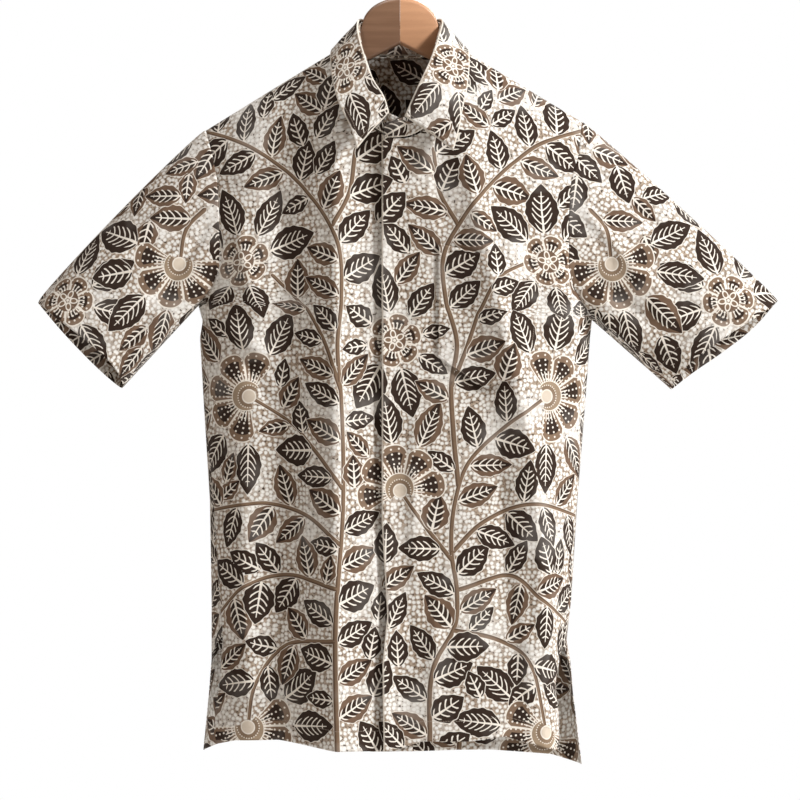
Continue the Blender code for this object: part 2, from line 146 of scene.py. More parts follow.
# large folds: x at chest, waist and hem, height at chest, waist and hem, half width
foldLevels = (-250, -560, -880)
frontFolds = (
    (-69, -70, -69, 9, 14, 17, 27),
    (-70, -71, -69, 2.5, 3, 3, 7),
    (-128, -126, -124, -7, -11, -15, 27),
    (72, 142, 172, 12, 14, 12, 27),
    (72, 144, 174, 2, 3, 3, 8),
    (-14, -6, 4, -6, -8, -8, 40),
)
backFolds = (
    (-96, -108, -118, 1, 6, 9, 30),
    (-24, -30, -30, -1, -5, -8, 28),
    (62, 58, 66, 1, 6, 9, 30),
)


def foldHeight(table, x, z):
    total = np.zeros_like(x)
    levels = -np.array(foldLevels, float)
    for x1, x2, x3, h1, h2, h3, width in table:
        middle = np.interp(-z, levels, (x1, x2, x3))
        total += np.interp(-z, levels, (h1, h2, h3)) * np.exp(-(((x - middle) / width) ** 2))
    return total


# small creases: x and z of both ends, height, half width, bow sideways
frontCreases = (
    (-176, -300, -150, -420, 2.6, 9, 8),
    (-150, -250, -120, -380, -2.2, 10, -6),
    (-196, -420, -120, -470, 2.4, 9, 6),
    (-190, -445, -140, -520, -2.0, 8, -5),
    (-98, -420, -92, -640, 2.0, 9, 5),
    (-40, -300, -44, -560, -1.8, 10, 4),
    (-106, -640, -98, -880, 2.2, 10, -6),
    (-170, -560, -164, -860, 2.6, 12, 5),
    (-30, -640, -36, -890, 2.0, 9, -4),
    (186, -330, 150, -430, 2.8, 9, -8),
    (176, -300, 120, -400, -2.0, 10, 6),
    (200, -440, 140, -500, 2.2, 8, -6),
    (110, -250, 128, -420, 2.0, 10, -6),
    (16, -520, 22, -760, 2.0, 9, 4),
    (104, -560, 112, -800, -2.4, 11, -5),
    (44, -700, 40, -880, 2.2, 9, 5),
    (160, -640, 150, -880, 2.0, 10, 6),
    (130, -700, 138, -880, 1.8, 8, -4),
    (30, -260, 40, -330, 1.4, 8, 3),
    (-60, -240, -110, -300, 1.6, 9, 4),
)
backCreases = (
    (-170, -300, -120, -440, 2.6, 10, 8),
    (176, -310, 130, -450, 2.6, 10, -8),
    (-60, -260, -70, -620, 2.0, 12, 6),
    (20, -240, 10, -560, -2.0, 12, -6),
    (-150, -520, -160, -860, 2.4, 12, 6),
    (100, -480, 112, -860, -2.2, 12, 5),
    (-10, -600, -4, -880, 2.2, 10, -5),
    (140, -560, 150, -880, 2.4, 11, -6),
    (-200, -430, -130, -480, 2.0, 9, 6),
    (196, -440, 140, -490, 2.0, 9, -6),
)


def creaseHeight(table, a, b):
    # soft ridges and troughs that fade at both ends and bow to one side
    total = np.zeros(np.broadcast(a, b).shape)
    for a1, b1, a2, b2, height, width, bow in table:
        length = math.hypot(a2 - a1, b2 - b1)
        along = ((a - a1) * (a2 - a1) + (b - b1) * (b2 - b1)) / length**2
        across = ((a - a1) * (b2 - b1) - (b - b1) * (a2 - a1)) / length
        inside = np.clip(along, 0, 1)
        across = across - bow * np.sin(np.pi * inside)
        height = shirt["creaseStrength"] * height * np.sin(np.pi * inside) ** 0.8
        total += height * np.exp(-((across / (width * (0.7 + 0.5 * inside))) ** 2))
    return total


def shoulderLine(side, share):
    x = shirt["neckX"] + (shirt["shoulderX"][side] - shirt["neckX"]) * share
    z = shirt["neckZ"] - shirt["shoulderSlope"] * (x - shirt["neckX"])
    return np.stack([side * x, shirt["ridgeBack"] * x, z], axis=-1)


def neckLine(side, share, centre):
    a = np.radians(90) * share
    y, z = centre
    point = shoulderLine(side, np.zeros_like(share))
    return np.stack(
        [
            side * shirt["neckX"] * np.sin(a),
            point[:, 1] + (y - point[:, 1]) * np.cos(a) ** 0.9,
            point[:, 2] + (z - point[:, 2]) * np.cos(a) ** 1.3,
        ],
        axis=-1,
    )


def topEdge(u, centre):
    out = np.zeros((len(u), 3))
    limit = shirt["neckShare"]
    for side in (-1, 1):
        on = (u >= 0) if side > 0 else (u < 0)
        share = np.abs(u[on])
        neck = neckLine(side, np.clip(share / limit, 0, 1), centre)
        run = shoulderLine(side, np.clip((share - limit) / (1 - limit), 0, 1))
        out[on] = np.where((share < limit)[:, None], neck, run)
    return out


# front armhole seam: z, x on the wearer's right, x on the wearer's left
armholeSeam = (
    (-205, -216, 200),
    (-241, -206, 196),
    (-266, -201, 188),
    (-308, -198, 185),
    (-364, -198, 185),
    (-385, -206, 190),
    (-404, -222, 202),
    (-420, -222, 213),
)


def armholeAngle(side, z, table):
    x = column(armholeSeam, z, 1 if side < 0 else 2)
    left, right = column(table, z, 1), column(table, z, 2)
    share = np.abs((x - (left + right) / 2) / ((right - left) / 2))
    return np.degrees(np.arcsin(np.clip(share, 0, 1) ** (shirt["bodyFlatness"] / 2)))


def upperRow(u, v, front):
    # the body from its upper edge (v 0) to the armpit (v 1)
    table = bodySections + (frontLowSections if front else backLowSections)
    top = topEdge(u, shirt["frontNeck"] if front else shirt["backNeck"])
    armpit = shirt["armpitZ"]
    foot = np.interp(u, (-1, 1), (armpit[-1], armpit[1]))
    z = top[:, 2] + (foot - top[:, 2]) * v
    ends, seamX = [], {}
    for side in (-1, 1):
        endTop = shoulderLine(side, np.array([1.0]))[0, 2]
        endZ = endTop + (armpit[side] - endTop) * v
        seamX[side] = float(column(armholeSeam, endZ, 1 if side < 0 else 2))
        ends.append(float(armholeAngle(side, endZ, table)))
    left, right = (-ends[0], ends[1]) if front else (-180 + ends[0], -180 - ends[1])
    angle = evenAngles(table, float(np.mean(z)), left, right, (u + 1) / 2)
    p = bodyRing(table, z, angle)
    ease = v * (2 - v)
    x = top[:, 0] + (p[:, 0] - top[:, 0]) * ease
    for side in (-1, 1):
        endX = shoulderLine(side, np.array([1.0]))[0, 0]
        x += (seamX[side] - endX) * (1 - ease) * np.clip(u * side, 0, 1) ** 3
    y = top[:, 1] + (p[:, 1] - top[:, 1]) * math.sqrt(1 - (1 - v) ** 2)
    return np.stack([x, y, z], axis=1)


def lowerRow(u, v, front, hem):
    # the body from the armpit (v 0) to the hem (v 1)
    table = bodySections + (frontLowSections if front else backLowSections)
    armpit = shirt["armpitZ"]
    foot = np.interp(u, (-1, 1), (armpit[-1], armpit[1]))
    level = float(np.mean(foot)) + (shirt["meanHemZ"] - float(np.mean(foot))) * v
    left, right = -column(table, level, 6), column(table, level, 7)
    if v == 0:
        left, right = -90, 90
    if not front:
        right -= 360
    angle = evenAngles(table, level, left, right, (u + 1) / 2)
    x = bodyRing(table, np.full(len(u), level), angle)[:, 0]
    rows = np.array(hem, float)
    z = foot + (np.interp(x, rows[:, 0], rows[:, 1]) - foot) * v
    return bodyRing(table, z, angle)


def bodyRow(v, u, front, hem):
    p = upperRow(u, v, front) if v < 1 else lowerRow(u, v - 1, front, hem)
    fade = np.clip((1 - np.abs(u)) / shirt["seamFade"], 0, 1) * np.clip(v / 0.5, 0, 1)
    lift = foldHeight(frontFolds if front else backFolds, p[:, 0], p[:, 2])
    lift += creaseHeight(frontCreases if front else backCreases, p[:, 0], p[:, 2])
    p[:, 1] += (-lift if front else lift) * fade
    return p


def bodyLevels(upperRows, lowerRows):
    upper = np.linspace(0, 1, upperRows + 1)[:-1] ** shirt["rowCrowding"]
    return np.concatenate([upper, 1 + np.linspace(0, 1, lowerRows + 1)])


def lapStep(x):
    low, high = shirt["lapRamp"]
    return shirt["lapStep"] * np.clip((high - x) / (high - low), 0, 1)


hems = {
    "frontRight": ((-204, -881), (-134, -880), (-70, -891), (14, -892)),
    "frontLeft": ((-20, -892), (3, -888), (24, -881), (77, -881), (115, -876), (174, -893)),
    "back": ((-218, -895), (-202, -889), (-176, -885), (-136, -885), (-84, -893), (-31, -899),
             (22, -899), (101, -897), (167, -901), (201, -911)),
}
# the covered placket's free edge: z, x, lift off the other front
placketEdge = (
    (-215, -20, 0.0),
    (-300, -20, 3.6),
    (-520, -20, 4.2),
    (-640, -20, 3.6),
    (-742, -14, 6.0),
    (-795, -19, 7.0),
    (-895, -18, 6.0),
)


def frontPanel(side, columns, levels):
    hem = hems["frontRight" if side < 0 else "frontLeft"]
    grid = []
    for v in levels:
        u = np.linspace(-1, 1, fine["row"])
        p = bodyRow(v, u, True, hem)
        middle = float(np.interp(0, u, p[:, 2]))
        edge = shirt["underlapX"] if side < 0 else float(column(placketEdge, middle, 1))
        share = float(np.interp(edge, p[:, 0], u))
        p = bodyRow(v, np.linspace(share, side, fine["cutRow"]), True, hem)
        if side > 0:
            curl = np.exp(-(((p[:, 0] - edge) / shirt["placketCurl"]) ** 2))
            low = np.interp(-p[:, 2], shirt["lapStart"], (0.5, 1.0))
            p[:, 1] -= column(placketEdge, p[:, 2], 2) * curl + lapStep(p[:, 0]) * low
        grid.append(resample(p, columns + 1))
    return np.array(grid)


def backPanel(columns, levels):
    u = np.linspace(-1, 1, columns + 1)
    return np.array([bodyRow(v, u, False, hems["back"]) for v in levels])


def armholeLoop(side, turns):
    # the armhole seam by turn: 0 at the shoulder point, down the front, 0.5 at the armpit, up the back
    u = np.array([float(side)])
    levels = np.linspace(0, 1, fine["armhole"]) ** 1.6
    out = np.zeros((len(turns), 3))
    for front in (True, False):
        half = np.array([upperRow(u, v, front)[0] for v in levels])
        at = runLength(half)
        share = at / at[-1] / 2
        on = (turns <= 0.5) if front else (turns > 0.5)
        place = turns[on] if front else 1 - turns[on]
        out[on] = np.stack([np.interp(place, share, half[:, k]) for k in range(3)], axis=1)
    return out


# sleeve hems: top corner and lower corner (x, z), half depth, y of the middle, how far the front
# edge is drawn up, how far the back edge hangs, rise of the top line, lowest turn and its width
sleeveHems = {
    -1: ((-398, -401), (-306, -495), 50, 14, 11, 7, 8, 0.74, 0.2),
    1: ((416, -400), (300, -498), 40, 14, 11, 7, 5.5, 0.80, 0.11),
}
sleeveShape = {
    "squareness": 0.85,  # exponent of the hem's loop, 1 is an ellipse
    "drawnAt": (0.32, 0.13),  # the turn where the front edge is drawn up, and its width
    "plump": 0.45,
    "underarmFade": 0.06,
}
# small creases of the sleeves: turn at both ends, share of the length at both ends, height, half width
sleeveCreases = {
    -1: (
        (0.10, 0.05, 0.14, 0.80, 2.2, 8),
        (0.22, 0.00, 0.30, 0.60, -2.6, 9),
        (0.36, 0.10, 0.24, 0.95, 2.6, 9),
        (0.44, 0.05, 0.42, 0.50, -2.4, 7),
        (0.30, 0.55, 0.36, 1.05, -2.0, 8),
        (0.62, 0.10, 0.68, 0.90, 2.4, 10),
        (0.80, 0.05, 0.76, 0.80, -2.4, 10),
        (0.90, 0.20, 0.88, 0.95, 2.0, 9),
    ),
    1: (
        (0.10, 0.05, 0.12, 0.85, -2.0, 8),
        (0.18, 0.00, 0.26, 0.70, 2.8, 9),
        (0.32, 0.05, 0.30, 0.90, -2.4, 9),
        (0.42, 0.10, 0.38, 0.70, 2.6, 8),
        (0.24, 0.60, 0.20, 1.05, -1.8, 8),
        (0.62, 0.10, 0.66, 0.85, -2.4, 10),
        (0.78, 0.05, 0.82, 0.90, 2.4, 10),
        (0.90, 0.20, 0.92, 0.95, -2.0, 9),
    ),
}


def sleeveHemLoop(side, turn):
    top, low, deep, middleY, drawn, dropped, _, lowest, width = sleeveHems[side]
    top, low = np.array(top, float), np.array(low, float)
    a = 2 * np.pi * turn
    square, (drawnAt, drawnWide) = sleeveShape["squareness"], sleeveShape["drawnAt"]
    share = (1 - np.sign(np.cos(a)) * np.abs(np.cos(a)) ** square) / 2
    xz = top + (low - top) * share[:, None]
    y = middleY - deep * np.sign(np.sin(a)) * np.abs(np.sin(a)) ** square
    outward = np.array([low[1] - top[1], -(low[0] - top[0])]) * -side
    outward /= np.linalg.norm(outward)
    hang = dropped * np.exp(-(((turn - lowest) / width) ** 2)) * (turn > 0.5)
    hang -= drawn * np.exp(-(((turn - drawnAt) / drawnWide) ** 2))
    xz += outward * hang[:, None]
    return np.stack([xz[:, 0], y, xz[:, 1]], axis=1)


def sleevePanel(side, around, along):
    # cut open under the arm: up the back, over the top, down the front
    order = np.linspace(0.5, 1.5, around + 1)
    turn = order % 1.0
    turn[0], turn[-1] = 0.5 + 1e-6, 0.5
    start, end = armholeLoop(side, turn), sleeveHemLoop(side, turn)
    middle = end.mean(axis=0)
    rows = []
    for w in np.linspace(0, 1, along + 1):
        p = start + (end - start) * w
        plump = sleeveHems[side][6] * math.sin(math.pi * w) ** sleeveShape["plump"] if 0 < w < 1 else 0.0
        p[:, 2] += plump * np.clip(np.cos(2 * np.pi * turn), 0, 1) ** 2
        rows.append(p)
    grid = np.array(rows)
    around = runLength(sleeveHemLoop(side, np.linspace(0, 1, fine["armhole"])))[-1]
    length = float(np.linalg.norm(middle - start.mean(axis=0)))
    share = np.linspace(0, 1, len(grid))[:, None]
    table = [
        (t1 * around, w1 * length, t2 * around, w2 * length, height, width, 4.0)
        for t1, w1, t2, w2, height, width in sleeveCreases[side]
    ]
    lift = creaseHeight(table, (turn * around)[None, :], share * length)
    lift *= np.clip(share / shirt["seamFade"], 0, 1)
    lift *= np.clip(np.abs(turn - 0.5) / sleeveShape["underarmFade"], 0, 1)[None, :]
    return grid + outwardNormals(grid, grid.mean(axis=(0, 1)))[0] * lift[..., None]


collarCurves = {
    "foldRight": ((-12, -58, -197), (-17, -56, -180), (-28, -49, -162), (-38, -37, -135), (-46, -18, -104),
                  (-45, 4, -92), (-36, 28, -90), (0, 45, -90)),
    "foldLeft": ((5, -60, -201), (14, -56, -180), (24, -49, -158), (33, -37, -138), (42, -18, -111),
                 (46, 4, -92), (36, 28, -90), (0, 45, -90)),
    "edgeRight": ((-47, -67, -236), (-54, -64, -212), (-65, -55, -190), (-73, -38, -163), (-76, -14, -132),
                  (-73, 14, -122), (-52, 46, -126), (0, 62, -131)),
    "edgeLeft": ((58, -70, -238), (64, -66, -216), (68, -58, -194), (74, -38, -164), (76, -14, -133),
                 (73, 14, -122), (52, 46, -126), (0, 62, -131)),
    "arch": 2,  # the fall rises this much between fold and edge
    "roll": (1.2, 0.12),  # the fold's roll and its share of the fall
    "standBelowFold": 2.4,
    "standInside": 1.9,
    "standAboveNeck": 2.2,
    "standEnds": (((8, -49, -220), (7, -52, -205)), ((-17, -57, -223), (-17, -61, -208))),
}


def collarLine(name, columns):
    # from the wearer's right end round the back of the neck to the left end
    half = np.linspace(0, 1, columns // 2 + 1)
    right, left = (smoothCurve(collarCurves[name + side], half) for side in ("Right", "Left"))
    return np.concatenate([right, left[::-1][1:]])


def collarPanel(columns, rows):
    # the fall, from inside the fold line over it and down to the outer edge
    fold, edge = collarLine("fold", columns), collarLine("edge", columns)
    roll, rollShare = collarCurves["roll"]
    out = []
    for w in np.linspace(0, 1, rows + 1):
        p = fold + (edge - fold) * w
        p[:, 2] += collarCurves["arch"] * math.sin(math.pi * w) + roll * math.exp(-((w / rollShare) ** 2))
        out.append(p)
    return np.array(out)


def standPanel(columns, rows):
    c = collarCurves
    top = collarLine("fold", columns)
    foot = []
    for side in (-1, 1):
        share = np.linspace(0, 1, fine["neck"])
        front = neckLine(side, share, shirt["frontNeck"])
        back = neckLine(side, share, shirt["backNeck"])[::-1]
        both = resample(np.concatenate([front, back[1:]]), columns // 2 + 1)
        foot.append(both if side < 0 else both[::-1][1:])
    foot = np.concatenate(foot)
    inward = -top
    inward[:, 2] = 0
    top += inward / np.linalg.norm(inward, axis=1)[:, None] * c["standInside"]
    top[:, 2] -= c["standBelowFold"]
    rise = top - foot
    foot += rise / np.linalg.norm(rise, axis=1)[:, None] * c["standAboveNeck"]
    ends = np.array(c["standEnds"], float)
    foot = np.concatenate([ends[0][:1], foot[1:-1], ends[1][:1]])
    top = np.concatenate([ends[0][1:], top[1:-1], ends[1][1:]])
    return np.array([foot + (top - foot) * w for w in np.linspace(0, 1, rows + 1)])


pocket = {
    "top": ((42, -338), (158, -366)),
    "foot": ((41, -462), (90, -496), (140, -484)),
    "off": 2.9,
}


def pocketPanel(front, columns, rows):
    # laid on the wearer's left front and moved out
    across = np.linspace(0, 1, columns + 1)[None, :]
    down = np.linspace(0, 1, rows + 1)[:, None]
    (x0, z0), (x1, z1) = pocket["top"]
    foot = np.array(pocket["foot"], float)
    x = x0 + (x1 - x0) * across
    z = z0 + (z1 - z0) * across
    x = x + (np.interp(across, (0, 0.5, 1), foot[:, 0]) - x) * down
    z = z + (np.interp(across, (0, 0.5, 1), foot[:, 1]) - z) * down
    y = np.array([front.at(a, b)[0][1] for a, b in zip(x.ravel(), z.ravel())]).reshape(x.shape)
    return np.stack([x, y - pocket["off"], z], axis=-1)


def outwardNormals(grid, centre):
    n = np.cross(np.gradient(grid, axis=1), np.gradient(grid, axis=0))
    n /= np.linalg.norm(n, axis=-1, keepdims=True) + 1e-12
    way = 1 if np.sum(n * (grid - centre)) > 0 else -1
    return n * way, way


def unroll(grid, anchorRow, anchorT, down, pivotColumn, pivotS, way):
    # the cloth's own flat coordinates: t along the columns, s along the rows and square to t
    steps = np.linalg.norm(np.diff(grid, axis=0), axis=-1)
    t = np.concatenate([np.zeros((1, grid.shape[1])), np.cumsum(steps, axis=0)])
    t = anchorT + down * (t - t[anchorRow])
    length = np.linalg.norm(np.diff(grid, axis=1), axis=-1)
    ds = np.sqrt(np.maximum(length**2 - np.diff(t, axis=1) ** 2, 0.04 * length**2))
    s = np.concatenate([np.zeros((len(grid), 1)), np.cumsum(ds, axis=1)], axis=1)
    s = np.asarray(pivotS)[..., None] + way * (s - s[:, [pivotColumn]])
    return np.stack([s, t], axis=-1)


class Cloth:
    # one cut piece: its middle surface as hung, and the same points laid flat
    def __init__(self, name, grid, flat, centre, facing=-1):
        self.name, self.grid, self.flat = name, grid, flat
        self.normal, self.way = outwardNormals(grid, np.array(centre, float))
        self.seen = self.normal[..., 1] * facing > 0.1

    def at(self, x, z):
        # the cloth's point and flat place under (x, z), carried on past its edges
        g, f = self.grid, self.flat
        away = np.hypot(g[..., 0] - x, g[..., 2] - z) + np.where(self.seen, 0.0, 1e3)
        r, c = np.unravel_index(np.argmin(away), away.shape)
        r, c = min(max(r, 1), g.shape[0] - 2), min(max(c, 1), g.shape[1] - 2)
        byRow, byColumn = (g[r + 1, c] - g[r - 1, c]) / 2, (g[r, c + 1] - g[r, c - 1]) / 2
        turn = np.array([[byRow[0], byColumn[0]], [byRow[2], byColumn[2]]])
        a, b = np.linalg.solve(turn + np.eye(2) * 1e-6, np.array([x - g[r, c, 0], z - g[r, c, 2]]))
        point = g[r, c] + byRow * a + byColumn * b
        place = f[r, c] + (f[r + 1, c] - f[r - 1, c]) / 2 * a + (f[r, c + 1] - f[r, c - 1]) / 2 * b
        return point, place

    def laid(self, x, z):
        return self.at(x, z)[1]


# the batik's drawing, in the cloth's flat millimetres
batik = {
    "leafLength": 44.0,
    "leafSpacing": 36.0,  # along a vine, side by side in turn
    "darkShare": 0.6,  # near-black leaves, the rest are taupe
    "stemHalfWidth": 2.8,
    "rosetteRadius": 30.0,
    "sideFlowerRadius": 51.0,
    "clearance": 1.4,
    "joinWithin": 22,  # a branch that starts this near a vine starts on it
    "discStep": 5,  # along a stem
    "firstLeaf": 16.0,  # along a vine
    "leafStep": (0.52, 0.1),  # of the leaf spacing, and how much of it is left to chance
    "rosetteRoom": (0.97, 0.0),  # the disc kept free for a flower and its shift, by the radius
    "sideRoom": (0.80, 0.22),
    "rosetteTurn": 0.3,
    "rosetteLeaves": (0.6, 310, 8),  # direction in radians, spread in degrees and number
    "sideLeaves": (205, 7),
    "gapLeaves": (1.57, 2.2),  # direction in radians and its swing
    "flowerWithin": 42,  # a vine that ends this near a side flower runs to it
    "leafDiscs": ((0.3, 0.19), (0.55, 0.22), (0.82, 0.13)),  # place and radius, by the leaf's length
    "narrow": (1.20, 0.36, 1.6),  # the widest leaf, how far the others fall from it, and how seldom
    "sizes": {"vine": (1.06, 0.94, 0.82), "flower": (1.25, 1.05, 0.85, 0.7), "gap": (1.0, 0.92, 0.82, 0.74)},
}
# vines as they hang, root to tip, x and z; the last number is the leaves' lean off the vine in degrees
frontVines = (
    (((-68, -892), (-70, -752), (-62, -620), (-64, -510), (-68, -448), (-64, -400), (-70, -332), (-86, -302),
      (-110, -272), (-160, -234), (-214, -214)), 60),
    (((-70, -320), (-56, -284), (-48, -234)), 50),
    (((-66, -500), (-82, -446), (-110, -402), (-140, -372)), 50),
    (((-68, -608), (-82, -578), (-110, -542), (-152, -512)), 50),
    (((-70, -666), (-100, -636), (-144, -622), (-206, -630)), 62),
    (((-70, -716), (-122, -700), (-164, -710), (-202, -748)), 62),
    (((-72, -772), (-126, -778), (-158, -820), (-168, -864)), 55),
    (((32, -892), (38, -796), (60, -754), (62, -718), (56, -674), (60, -620), (72, -582), (110, -542),
      (146, -514)), 58),
    (((64, -604), (58, -542), (56, -492), (62, -448), (50, -400), (48, -350), (68, -312), (100, -272),
      (144, -234), (202, -212)), 60),
    (((64, -320), (44, -284), (36, -234)), 50),
    (((68, -496), (72, -454), (88, -410), (110, -374), (136, -360)), 50),
    (((56, -684), (30, -650), (12, -624)), 50),
    (((58, -674), (88, -644), (132, -624), (192, -636)), 62),
    (((64, -714), (126, -702), (154, -726), (182, -754)), 62),
    (((60, -760), (100, -768), (132, -784), (156, -840)), 55),
)
# flowers: x, z and the way that a side flower opens, in degrees; a rosette has none
frontFlowers = (
    (-172, -358, None), (162, -358, None), (-6, -444, None),
    (-165, -505, 168), (160, -505, 12), (0, -608, 100), (-166, -866, 295), (160, -872, 245),
)
sleeveFlowers = {
    -1: ((-364, -400, None), (-242, -360, 255)),
    1: ((360, -400, None), (232, -360, 285)),
}
sleeveVines = {
    -1: ((((-214, -300), (-232, -318), (-242, -340)), 50),),
    1: ((((208, -300), (224, -318), (232, -340)), 50),),
}
collarFlowers = ((-60, -146, None), (58, -144, None))


class Drawing:
    # stems, flowers and leaves in flat millimetres, none laid over another
    def __init__(self, seed):
        self.leaves, self.stems, self.flowers, self.discs = [], [], [], []
        self.state = seed

    def chance(self):
        self.state = (self.state * 1103515245 + 12345) % 2147483648
        return self.state / 2147483648

    def clear(self, discs, own=None):
        if not self.discs:
            return True
        held = np.array(self.discs)
        for s, t, r in discs:
            near = np.hypot(held[:, 0] - s, held[:, 1] - t) < held[:, 2] + r + batik["clearance"]
            if own is not None:
                near &= held[:, 3] != own
            if near.any():
                return False
        return True

    def stem(self, points, width):
        # a branch starts on the vine it leaves
        points = [np.array(p, float) for p in points]
        drawn = np.concatenate([p for p, _ in self.stems]) if self.stems else np.zeros((0, 2))
        if len(drawn):
            away = np.hypot(*(drawn - points[0]).T)
            if away.min() < batik["joinWithin"]:
                points[0] = drawn[int(np.argmin(away))]
        p = smoothCurve(points, np.linspace(0, 1, max(12, int(runLength(np.array(points))[-1] / 4))))
        self.stems.append((p, width))
        number = len(self.stems)
        for s, t in p[:: max(1, int(len(p) * batik["discStep"] / runLength(p)[-1]))]:
            self.discs.append((s, t, width, number))
        return p, number

    def flower(self, place, angle, radius):
        self.flowers.append((place[0], place[1], angle, radius))
        room, shift = (abs(radius) * k for k in batik["rosetteRoom" if radius > 0 else "sideRoom"])
        self.discs.append((place[0] + shift * math.cos(angle), place[1] + shift * math.sin(angle), room, -1))

    def leaf(self, base, angle, length, own=None, dark=None):
        way = np.array([math.cos(angle), math.sin(angle)])
        discs = [(*(np.array(base) + way * length * u), length * r) for u, r in batik["leafDiscs"]]
        if not self.clear(discs, own):
            return False
        dark = self.chance() < batik["darkShare"] if dark is None else dark
        most, fall, power = batik["narrow"]
        narrow = most - fall * self.chance() ** power
        self.leaves.append((base[0], base[1], angle, length if dark else -length, narrow))
        self.discs += [(s, t, r, 0) for s, t, r in discs]
        return True

    def leavesAlong(self, p, number, lean, width):
        run = runLength(p)
        side, at = 1, batik["firstLeaf"]
        step, loose = batik["leafStep"]
        while at < run[-1] - 4:
            place = np.array([np.interp(at, run, p[:, 0]), np.interp(at, run, p[:, 1])])
            ahead = np.array([np.interp(at + 4, run, p[:, 0]), np.interp(at + 4, run, p[:, 1])])
            way = math.atan2(*(ahead - place)[::-1])
            for bend in (0, 12, -12, 24):
                angle = way + side * math.radians(lean + bend)
                base = place + (width + 0.8) * np.array([math.cos(angle), math.sin(angle)])
                sizes = (batik["leafLength"] * size for size in batik["sizes"]["vine"])
                if any(self.leaf(base, angle, size, number) for size in sizes):
                    break
            side, at = -side, at + batik["leafSpacing"] * (step + loose * self.chance())

    def leavesRound(self, place, radius, angle, spread, count):
        for k in range(count):
            way = angle + math.radians(spread) * (k / max(count - 1, 1) - 0.5)
            base = np.array(place) + (abs(radius) + 1.5) * np.array([math.cos(way), math.sin(way)])
            # these may touch one another
            for size in batik["sizes"]["flower"]:
                if self.leaf(base, way, batik["leafLength"] * size, 0, self.chance() < 0.8):
                    break

    def fill(self, low, high, tries):
        upright, swing = batik["gapLeaves"]
        for k in range(tries):
            s = low[0] + (high[0] - low[0]) * self.chance()
            t = low[1] + (high[1] - low[1]) * self.chance()
            angle = upright + swing * (self.chance() - 0.5)
            size = batik["sizes"]["gap"][k * 4 // tries]
            self.leaf((s, t), angle, batik["leafLength"] * size)


def drawBatik(seed, tries, mapTo, vines, flowers, low, high):
    d = Drawing(seed)
    made = []
    for points, lean in vines:
        near = [f for f in flowers if f[2] is not None and math.dist(f[:2], points[-1]) < batik["flowerWithin"]]
        if near:
            points = points[:-1] + (near[0][:2],)
        width = batik["stemHalfWidth"] * (1.0 if len(points) > 6 else 0.9)
        made.append((*d.stem([mapTo(x, z) for x, z in points], width), lean, width))
    for x, z, opens in flowers:
        place = mapTo(x, z)
        if opens is None:
            d.flower(place, batik["rosetteTurn"], batik["rosetteRadius"])
        else:
            a = math.radians(opens)
            ahead = mapTo(x + 6 * math.cos(a), z + 6 * math.sin(a)) - place
            d.flower(place, math.atan2(ahead[1], ahead[0]), -batik["sideFlowerRadius"])
    for s, t, angle, radius in list(d.flowers):
        leaves = batik["rosetteLeaves"] if radius > 0 else (angle, *batik["sideLeaves"])
        d.leavesRound((s, t), radius, *leaves)
    for p, number, lean, width in made:
        d.leavesAlong(p, number, lean, width)
    d.fill(low, high, tries)
    return d


def leafLayers(leaves):
    # leaves closer than a few millimetres go into different layers, so that one face never needs two
    layers, held = [[], [], []], [[], [], []]
    for leaf in leaves:
        s, t, angle, length, _ = leaf
        way = np.array([math.cos(angle), math.sin(angle)]) * abs(length)
        spots = [np.array([s, t]) + way * u for u in (0.05, 0.3, 0.55, 0.8, 1.0)]
        room = []
        for k in range(3):
            room.append(min((np.hypot(*(a - b)) for a in spots for b in held[k]), default=1e3))
        k = next((k for k in range(3) if room[k] > 0.62 * batik["leafLength"]), int(np.argmax(room)))
        layers[k].append(leaf)
        held[k] += spots
    return layers


def turned(points, s, t, angle, size):
    # points seen from (s, t), turned by the angle, as shares of the size
    du, dv = points[..., 0] - s, points[..., 1] - t
    c, n = math.cos(angle), math.sin(angle)
    return (du * c + dv * n) / size, (-du * n + dv * c) / size


